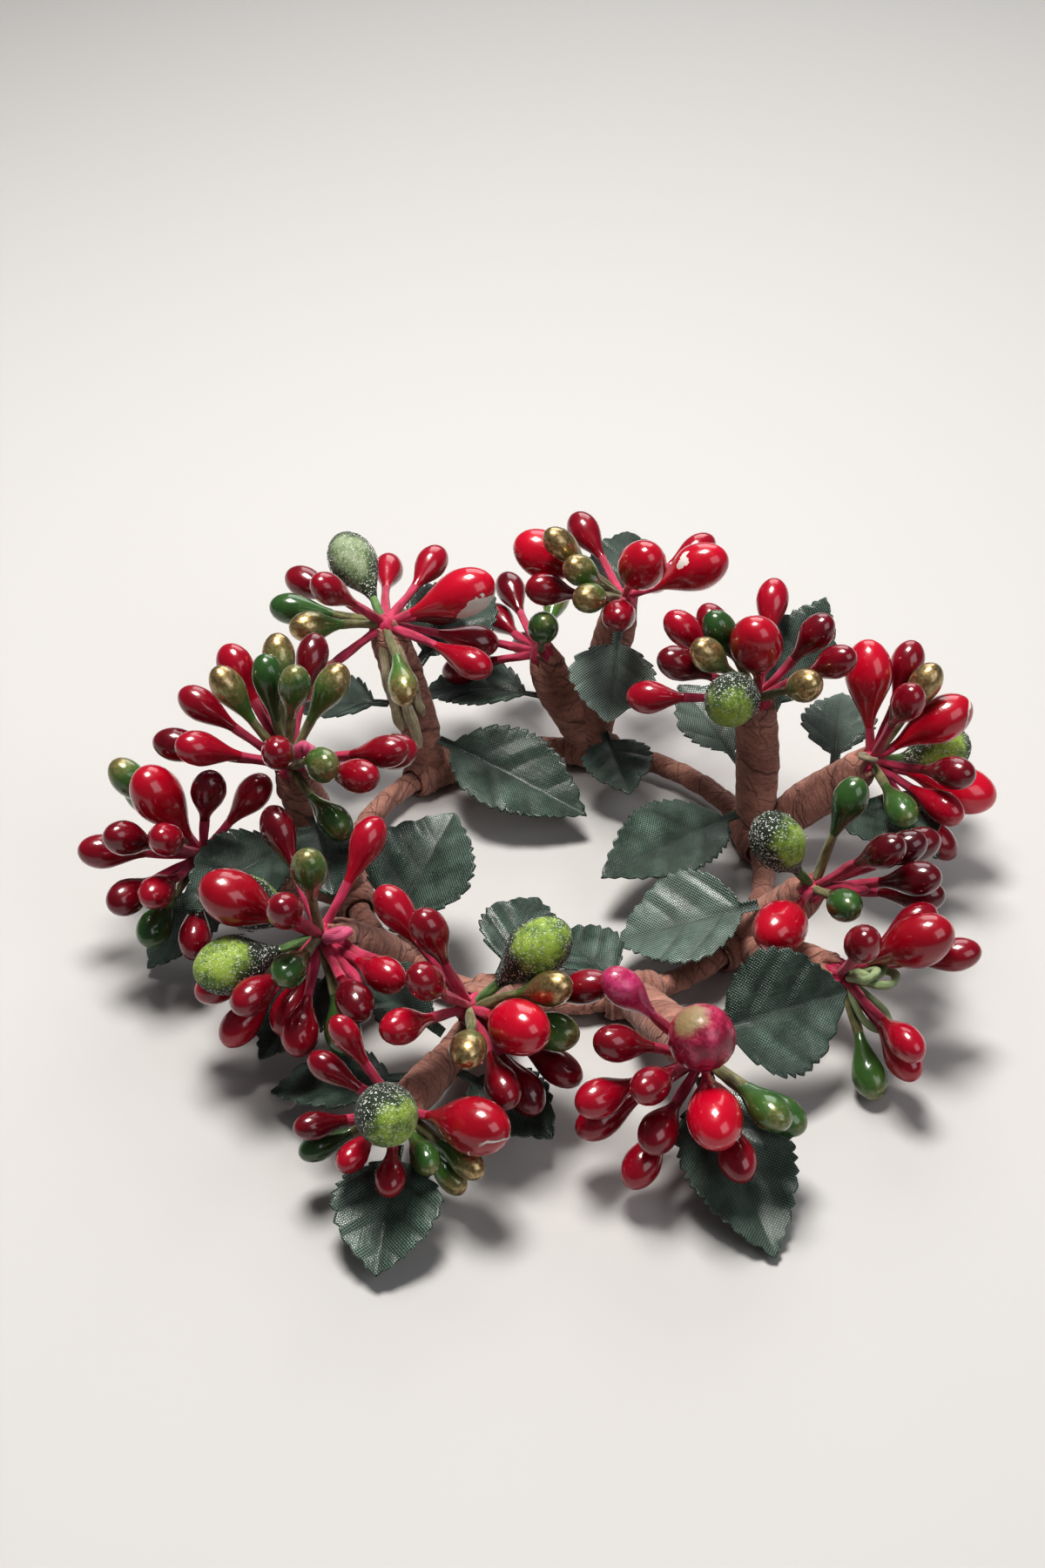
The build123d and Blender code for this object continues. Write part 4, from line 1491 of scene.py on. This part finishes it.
@dataclass
class Leaf:
    """A cloth leaf cut with pinking shears and pressed with veins.

    Attributes:
        blade: the leaf's solid.
        seed: sets what is uneven about it.
        shine: how much painted silvery sheen it gets.
        tab: half the width of the tab that the tape holds.
        tab_length: how long the tab is.
        tooth: how deep the pinked teeth are.
        pitch: from tooth to tooth.
        lean: the share of a tooth that its long side takes.
        full: the outline's power, as in the solid; less is fuller.
        pairs: how many side veins each half has.
        slant: how far a side vein runs on for each millimetre out from the rib.
        rib: about half the width of the pressed rib.
        relief: how deep the veins are pressed.
    """

    blade: Blade
    seed: int
    shine: float = 0.0
    tab: float = 0.6
    tab_length: float = 2.0
    tooth: float = 0.62
    pitch: float = 1.35
    lean: float = 0.75
    full: float = 0.8
    pairs: int = 3
    slant: float = 0.6
    rib: float = 0.4
    relief: float = 0.26

    def half(self, share: np.ndarray, side: int) -> np.ndarray:
        """Half the leaf's width: a tab, then a blade like the solid's, cut in uneven saw teeth.

        Args:
            share: shares of the leaf's length.
            side: 0 for its right and 1 for its left.

        Returns:
            The half width at each share.
        """
        tab = self.tab_length / self.blade.length
        s = np.clip((share - tab) / (1 - tab), 0, 1)
        blade = self.blade.width / 2 * np.maximum(np.sin(math.pi * s**self.full), 0) ** self.full
        run = share * self.blade.length / self.pitch
        run = run + 0.4 * np.sin(9 * share + self.seed + 2 * side) + 0.5 * side
        saw = run % 1.0
        depth = self.tooth * (0.85 + 0.4 * np.sin(np.floor(run) * 2.4 + self.seed + side))
        long, short = 1 - saw / self.lean, (saw - self.lean) / (1 - self.lean)
        cut = depth * np.clip(blade / 1.5, 0, 1) * np.where(saw < self.lean, long, short)
        return np.maximum(np.where(share < 0.5, self.tab, 0.02), blade - cut)

    def patch(self) -> Patch:
        """The cloth: the solid's drooping fold, pressed along the rib and the side veins, a little uneven.

        The side veins are the crests of a cosine over a slanting, bowed count along the leaf, the cloth
        swells between them, and the rib is a bell curve across the fold.

        Returns:
            The patch, with its veins, swells and shine as numbers on its points.
        """
        b = self.blade
        tooth_rows, columns = 10, 33
        teeth = int(b.length / self.pitch) + 1
        share = np.linspace(0, 1, teeth * tooth_rows + 1)[:, None]
        v = np.linspace(-1, 1, columns)[None, :]
        x = share * b.length
        y = np.where(v < 0, self.half(share, 0), self.half(share, 1)) * v
        wide = np.abs(y)
        bowed = wide + 0.05 * wide * wide
        count = (x - self.slant * bowed - self.tab_length * 0.6) / (b.length * 0.86) * (self.pairs + 0.6)
        count = count + 0.18 * np.sign(y) + 0.12 * np.sin(5 * count + self.seed)
        crest = np.cos(TURN * count)
        vein = np.clip(crest, 0, 1) ** 8 * np.clip(wide / 1.2, 0, 1) * np.clip(1.15 - share, 0, 1)
        rib = np.exp(-((y / self.rib) ** 2)) * np.clip(1.1 - share, 0, 1)
        pillow = (0.5 - 0.5 * crest) * np.clip(wide / 2.5, 0, 1) * np.clip(b.width / 2 - wide, 0, 2) / 2
        edge = np.abs(v) ** 3 * ripple(self.seed, x * 0.4, np.sign(v) * 2.0, low=0.5, high=1.2)
        wave = ripple(self.seed + 5, x * 0.3, y * 0.3, low=0.5, high=1.1) * np.clip(share * 3, 0, 1)
        height = b.fit[0] + b.fit[1] * x + b.fit[2] * x * x + b.fit[3] * np.sqrt(y * y + 0.35)
        height = height + self.relief * (0.7 * pillow - 0.3 * vein - 0.8 * rib + 0.9 * wave + edge)
        points = b.base + x[..., None] * b.ahead + y[..., None] * b.side + height[..., None] * b.up
        uv = np.stack(np.broadcast_arrays(x, y), axis=-1)
        # The cloth paints a highlight on the swells and shade in the pressed veins; shine sets its painted
        # sheen
        swell = np.clip(pillow * (0.75 + 0.5 * wave), 0, 1)
        pressed = np.clip(vein * 0.6 + rib, 0, 1)
        shine = np.full(swell.shape, self.shine)
        return Patch(points, uv, False, {"vein": pressed, "swell": swell, "shine": shine})

    def flat_width(self) -> float:
        """The cloth's width before it was folded along its rib."""
        return self.blade.width * self.blade.unfolded()

    def area(self) -> float:
        """The cloth's flat area in square metres."""
        share = np.linspace(0, 1, 400)
        whole = (self.half(share, 0) + self.half(share, 1)) * self.blade.unfolded()
        return float(((whole[1:] + whole[:-1]) / 2 * np.diff(share)).sum() * self.blade.length * MM * MM)


@dataclass
class Crust:
    """Glass grains that stand on a frosted berry.

    Attributes:
        count: grains on each berry, before its bare side loses most of its own.
        size: a grain's radius.
        sizes: the least and the most that a grain's radius is of that.
        point: how far its two points stand out, in radii.
        lowest: how far back from the girth the grains start, in the cap's lengths.
        lost: the most that the bare side loses of its grains.
    """

    count: int = 1700
    size: float = 0.078
    sizes: tuple[float, float] = (0.5, 1.2)
    point: float = 1.1
    lowest: float = -0.45
    lost: float = 0.92

    def patches(self, rod: Rod, seed: int, mark: Mark | None) -> Iterator[Patch]:
        """Grains as small eight-sided crystals over the head, sparse on its bare side.

        Each is a ring of four corners between two points, turned any way.

        Args:
            rod: the berry's solid.
            seed: sets where the grains lie.
            mark: which side of the berry is bare.

        Yields:
            One patch for each grain.
        """
        chance = np.random.default_rng(SEED * 7 + seed)
        long = rod.radius * CAP
        head = rod.start + rod.axis * (rod.length - long)
        z = chance.uniform(self.lowest, 1.0, self.count)
        turn = chance.uniform(0, TURN, self.count)
        first, second = across(rod.axis)
        level = np.sqrt(1 - z * z) * rod.radius
        out = (level * np.cos(turn))[:, None] * first + (level * np.sin(turn))[:, None] * second
        centre = head + (z * long)[:, None] * rod.axis + out
        way = unit(centre - head)
        bare = way @ heading(*(mark.side if mark else BARE_SIDE))
        kept = chance.uniform(0, 1, self.count) > np.clip((bare - 0.05) * 2.0, 0, self.lost)
        centre, way = centre[kept], way[kept]
        size = self.size * chance.uniform(*self.sizes, len(centre))
        spin = unit(chance.normal(size=(len(centre), 3)))
        side = unit(np.cross(spin, way + 1e-3))
        ring = spokes(circle(4), side[:, None], np.cross(spin, side)[:, None])
        points = np.repeat(spin[:, None], 4, axis=1) * self.point
        grains = centre[:, None, None] + np.stack([-points, ring, points], axis=1) * size[:, None, None, None]
        uv = np.zeros((3, 5, 2))
        for grain in grains:
            yield Patch(grain, uv)


@dataclass(frozen=True)
class Dip:
    """One kind of pip: its shape and what it is dressed in.

    Attributes:
        part: the kind.
        shape: how it is dipped.
        finishes: names of the thread's, the dipped part's, and that of a stray pip or of the grains on it.
        slot: the record's material slot.
    """

    part: Part
    shape: PipShape
    finishes: tuple[str, ...]
    slot: str


DIPS = [
    Dip(Part.PIPS, PipShape(), ("crimson_thread", "red_lacquer", "rose_wax"), "red_lacquer"),
    Dip(Part.BERRIES, PipShape(dip=2.3, swell=0.9), ("crimson_thread", "berry_lacquer"), "berry_lacquer"),
    Dip(Part.BUDS, PipShape(dip=2.6), ("khaki_thread", "green_lacquer"), "green_lacquer"),
    Dip(
        Part.FROSTED,
        PipShape(dip=1.9, swell=0.85),
        ("green_thread", "sugar_frost", "glass_grain"),
        "sugar_frost",
    ),
    Dip(Part.PINK_BUD, PipShape(dip=1.3, cap=1.17, swell=0.8), ("crimson_thread", "pink_wax"), "pink_wax"),
]


@dataclass
class Pick:
    """One wired pick: its stems, binding, pips and leaves.

    Attributes:
        name: its body's name.
        hoop: the hoop it is wound onto.
        foot: where its binding sits.
        seed: sets what is uneven about it.
        low_fork: the height over its foot under which a second bunch's stem is slim.
        slim: such a stem's widest radius.
        pip_start: how far from its gather a pip's solid starts, about.
        knot_sunk: how far down its stem a knot sits.
        knot_edge: how far from its gather a loose thread leaves.
        cloth: how thick its leaves are.
    """

    name: str
    hoop: Hoop
    foot: np.ndarray
    seed: int
    low_fork: float = 10.0
    slim: float = 2.2
    pip_start: float = 3.1
    knot_sunk: float = 0.4
    knot_edge: float = 1.2
    cloth: float = 0.22

    def node(self, part: Part) -> str:
        """The name of one of its nodes."""
        return f"{self.name}_{part.value}"

    @cached_property
    def gathers(self) -> list[np.ndarray]:
        """The middles of its bunches, at the far ends of the wires in its stems, the highest first."""
        ends = [Rod.found(points, self.foot).end() for points in solids(self.node(Part.WIRE))]
        return sorted(ends, key=lambda end: -end[2])

    def marks(self, part: Part, rods: Sequence[tuple[int, Rod]]) -> dict[int, Mark]:
        """Which of its pips of one kind are set apart.

        Args:
            part: the kind.
            rods: each pip's bunch and solid.

        Returns:
            The mark of each such pip by its place in rods: the one of its bunch that points most its way.
        """
        found = {}
        for mark in MARKS:
            if (mark.pick, mark.part) == (self.name, part):
                way = heading(*mark.points)
                likeness = [rod.axis @ way if bunch == mark.bunch else -math.inf for bunch, rod in rods]
                found[int(np.argmax(likeness))] = mark
        return found

    def build_stems(self, paper: Material) -> None:
        """Makes the wound stems and their binding as one piece."""
        piece = Piece(f"{self.name}_wound_stem", [paper])
        for n, gather in enumerate(self.gathers):
            low = gather[2] < self.foot[2] + self.low_fork and n > 0
            stem = Stem(self.foot, gather, self.slim) if low else Stem(self.foot, gather)
            piece.add(stem.patch(self.seed * 3 + n))
        angle = math.atan2(self.foot[1], self.foot[0])
        piece.add(Binding(self.hoop, angle).patch(self.seed))
        piece.make(self.name, "paper_tape", [self.node(Part.STEM)])

    def build_pips(self, dip: Dip, made: dict[str, Material]) -> None:
        """Makes all its pips of one kind, if it has any.

        Args:
            dip: the kind.
            made: every finish by name.
        """
        part = dip.part
        if self.node(part) not in frame["nodes"]:
            return
        finishes = [made[name] for name in dip.finishes]
        piece = Piece(f"{self.name}_dipped_{part.value}", finishes)
        crust = Piece(f"{self.name}_frost_grains", [finishes[-1]], smooth=False)
        small = Piece(f"{self.name}_small_pink_bud", [finishes[0], finishes[-1]])
        rods = []
        for points in solids(self.node(part)):
            bunch = min(range(len(self.gathers)), key=lambda n: self.miss(points, self.gathers[n]))
            rods.append((bunch, Rod.found(points, self.gathers[bunch])))
        marks = self.marks(part, rods)
        for n, (bunch, rod) in enumerate(rods):
            seed = self.seed * 1000 + n * 10 + len(part.value)
            mark = marks.get(n)
            own = replace(dip.shape, ripe=RIPENESS.get((self.name, part, bunch), 1.0))
            chosen = small if mark and mark.wear is Wear.ROSE else piece
            chosen.add(own.patch(rod, self.gathers[bunch], seed, mark))
            if part is Part.FROSTED:
                crust.add(*Crust().patches(rod, seed, mark))
        if part is Part.PIPS:
            for n, gather in enumerate(self.gathers):
                axis = unit(gather - self.foot)
                piece.add(Knot(gather - axis * self.knot_sunk, axis).patch(self.seed + n))
        piece.make(self.name, dip.slot, [self.node(part)])
        if crust.patches:
            crust.make(self.name, dip.slot)
        if small.patches:
            small.make(self.name, "pink_wax")

    def miss(self, points: np.ndarray, gather: np.ndarray) -> float:
        """How badly a pip fits a bunch.

        Args:
            points: the pip's solid.
            gather: the bunch's middle.

        Returns:
            How far its axis passes from the gather, plus how far its start is from where such pips start.
        """
        near = Rod.found(points, gather)
        arm = gather - near.start
        along = arm @ near.axis
        return float(np.linalg.norm(arm - along * near.axis) + abs(along + self.pip_start))

    def build_threads(self, made: dict[str, Material]) -> None:
        """Makes the loose threads that hang at its bunches, if it has any.

        Args:
            made: every finish by name.
        """
        dyes = list(Dye)
        piece = Piece(f"{self.name}_loose_threads", [made[dye.value] for dye in dyes])
        for n, end in enumerate(LOOSE_ENDS):
            if end.pick != self.name:
                continue
            way = heading(*end.points)
            start = self.gathers[end.bunch] + way * self.knot_edge
            bulge = end.bulge * heading(end.side)
            thread = Thread(start, way, end.reach, end.loop, end.sag, end.radius, bulge)
            piece.add(thread.patch(n * 5, dyes.index(end.dye)))
        if piece.patches:
            piece.make(self.name, "green_lacquer")

    def build_leaves(self, cloth: Material) -> None:
        """Makes each of its leaves as a sheet of cloth."""
        made = []
        stems = np.concatenate([np.linspace(self.foot, gather, 40) for gather in self.gathers])
        for n, points in enumerate(solids(self.node(Part.LEAVES))):
            near = min(stems, key=lambda p: np.linalg.norm(points - p, axis=1).min())
            name = f"{self.name}_leaf_{n + 1}"
            leaf = Leaf(Blade.found(points, near), self.seed * 10 + n, PAINTED_LEAF_SHEEN.get(name, 0.0))
            piece = Piece(name, [cloth])
            piece.add(leaf.patch())
            obj = piece.make(self.name, "leaf_cloth")
            solidify = obj.modifiers.new("cloth", "SOLIDIFY")
            solidify.thickness = self.cloth * MM
            solidify.offset = 0.0
            flat = (leaf.flat_width() * MM, leaf.blade.length * MM)
            leaf.area()
            made.append(obj)
        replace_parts(made[0], self.node(Part.LEAVES))


@dataclass(frozen=True)
class Lamp:
    """A soft square lamp that looks at the ring.

    Attributes:
        name: its name.
        place: where it hangs, in metres.
        size: its side, in metres.
        watts: its power.
        colour: its light's colour.
        aim: what it looks at, in metres.
    """

    name: str
    place: tuple[float, float, float]
    size: float
    watts: float
    colour: Colour
    aim: tuple[float, float, float] = (0.0, 0.0, 0.01)

    def build(self) -> None:
        """Hangs the lamp."""
        data = bpy.data.lights.new(self.name, "AREA")
        data.size = self.size
        data.energy = self.watts
        data.color = self.colour
        lamp = bpy.data.objects.new(self.name, data)
        lamp.location = self.place
        aim = Vector(self.aim) - Vector(self.place)
        lamp.rotation_euler = aim.to_track_quat("-Z", "Y").to_euler()
        bpy.context.scene.collection.objects.link(lamp)


LAMPS = [
    Lamp("key", (-0.05, 0.06, 0.5), 0.16, 5.8, (1.0, 0.97, 0.93)),
    Lamp("fill", (0.35, -0.35, 0.4), 0.4, 1.7, (0.95, 0.97, 1.0)),
    Lamp("rim", (0.06, 0.44, 0.36), 0.34, 1.7, (1.0, 1.0, 1.0)),
]


@dataclass
class Studio:
    """The camera at the photograph's angle, a pale floor and soft light.

    Attributes:
        distance: from the ring's middle, in metres.
        elevation: of the camera over the floor, in degrees.
        pitch: how far down the camera looks, in degrees.
        yaw: how far it looks to the left, in degrees.
        lens: its focal length in millimetres.
        sensor: the frame's long side that the lens is for, in millimetres.
        ground: the floor's colour.
        reach: half the floor's side, in metres.
        sky: the colour of the light from all round.
        glow: how strong that light is.
        exposure: the picture's exposure.
    """

    distance: float = 0.287
    elevation: float = 38.5
    pitch: float = 35.98
    yaw: float = 1.146
    lens: float = 50.0
    sensor: float = 36.0
    ground: Colour = (0.5, 0.49, 0.48)
    reach: float = 4.0
    sky: Colour = (0.75, 0.78, 0.82)
    glow: float = 0.25
    exposure: float = -0.95

    def build(self) -> None:
        """Sets up camera, floor and lights."""
        self.camera()
        self.floor()
        for lamp in LAMPS:
            lamp.build()
        world = bpy.data.worlds.new("studio")
        world.use_nodes = True
        background = world.node_tree.nodes["Background"]
        background.inputs["Color"].default_value = (*self.sky, 1.0)
        background.inputs["Strength"].default_value = self.glow
        bpy.context.scene.world = world
        view = bpy.context.scene.view_settings
        view.view_transform = "Standard"
        view.look = "Medium High Contrast"
        view.exposure = self.exposure

    def camera(self) -> None:
        """The camera, in front of the ring and looking down at it."""
        data = bpy.data.cameras.new("camera")
        data.lens = self.lens
        data.sensor_width = self.sensor
        data.clip_start = 0.01
        camera = bpy.data.objects.new("camera", data)
        e, p, y = (math.radians(v) for v in (self.elevation, self.pitch, self.yaw))
        camera.location = (0.0, -self.distance * math.cos(e), self.distance * math.sin(e))
        forward = Vector((-math.sin(y) * math.cos(p), math.cos(y) * math.cos(p), -math.sin(p)))
        camera.rotation_euler = forward.to_track_quat("-Z", "Y").to_euler()
        bpy.context.scene.collection.objects.link(camera)
        bpy.context.scene.camera = camera

    def floor(self) -> None:
        """A plain pale floor."""
        s = Shader("floor", {"Roughness": 0.7, "Base Color": self.ground})
        mesh = bpy.data.meshes.new("floor")
        square = [(-1, -1), (1, -1), (1, 1), (-1, 1)]
        mesh.from_pydata([(x * self.reach, y * self.reach, 0.0) for x, y in square], [], [[0, 1, 2, 3]])
        mesh.materials.append(s.material)
        obj = bpy.data.objects.new("floor", mesh)
        bpy.context.scene.collection.objects.link(obj)


def main() -> None:
    """Builds the ring's pieces in order and logs each."""
    logging.basicConfig(level=logging.INFO, format="%(message)s")
    Studio().build()
    made = {finish.name: finish.make() for finish in FINISHES}
    for name, node in frame["nodes"].items():
        if name.endswith(f"_{Part.WIRE.value}"):
            node.data.materials.clear()
            node.data.materials.append(made["steel_wire"])
    hoop = Hoop.found()
    hoop.build(made["paper_tape"])
    for seed, joint in enumerate(frame["joints"], start=1):
        pick = Pick(joint["child"], hoop, np.array(joint["pos_m"]) / MM, seed)
        pick.build_stems(made["paper_tape"])
        for dip in DIPS:
            pick.build_pips(dip, made)
        pick.build_threads(made)
        pick.build_leaves(made["leaf_cloth"])


if __name__ == "__main__":
    main()
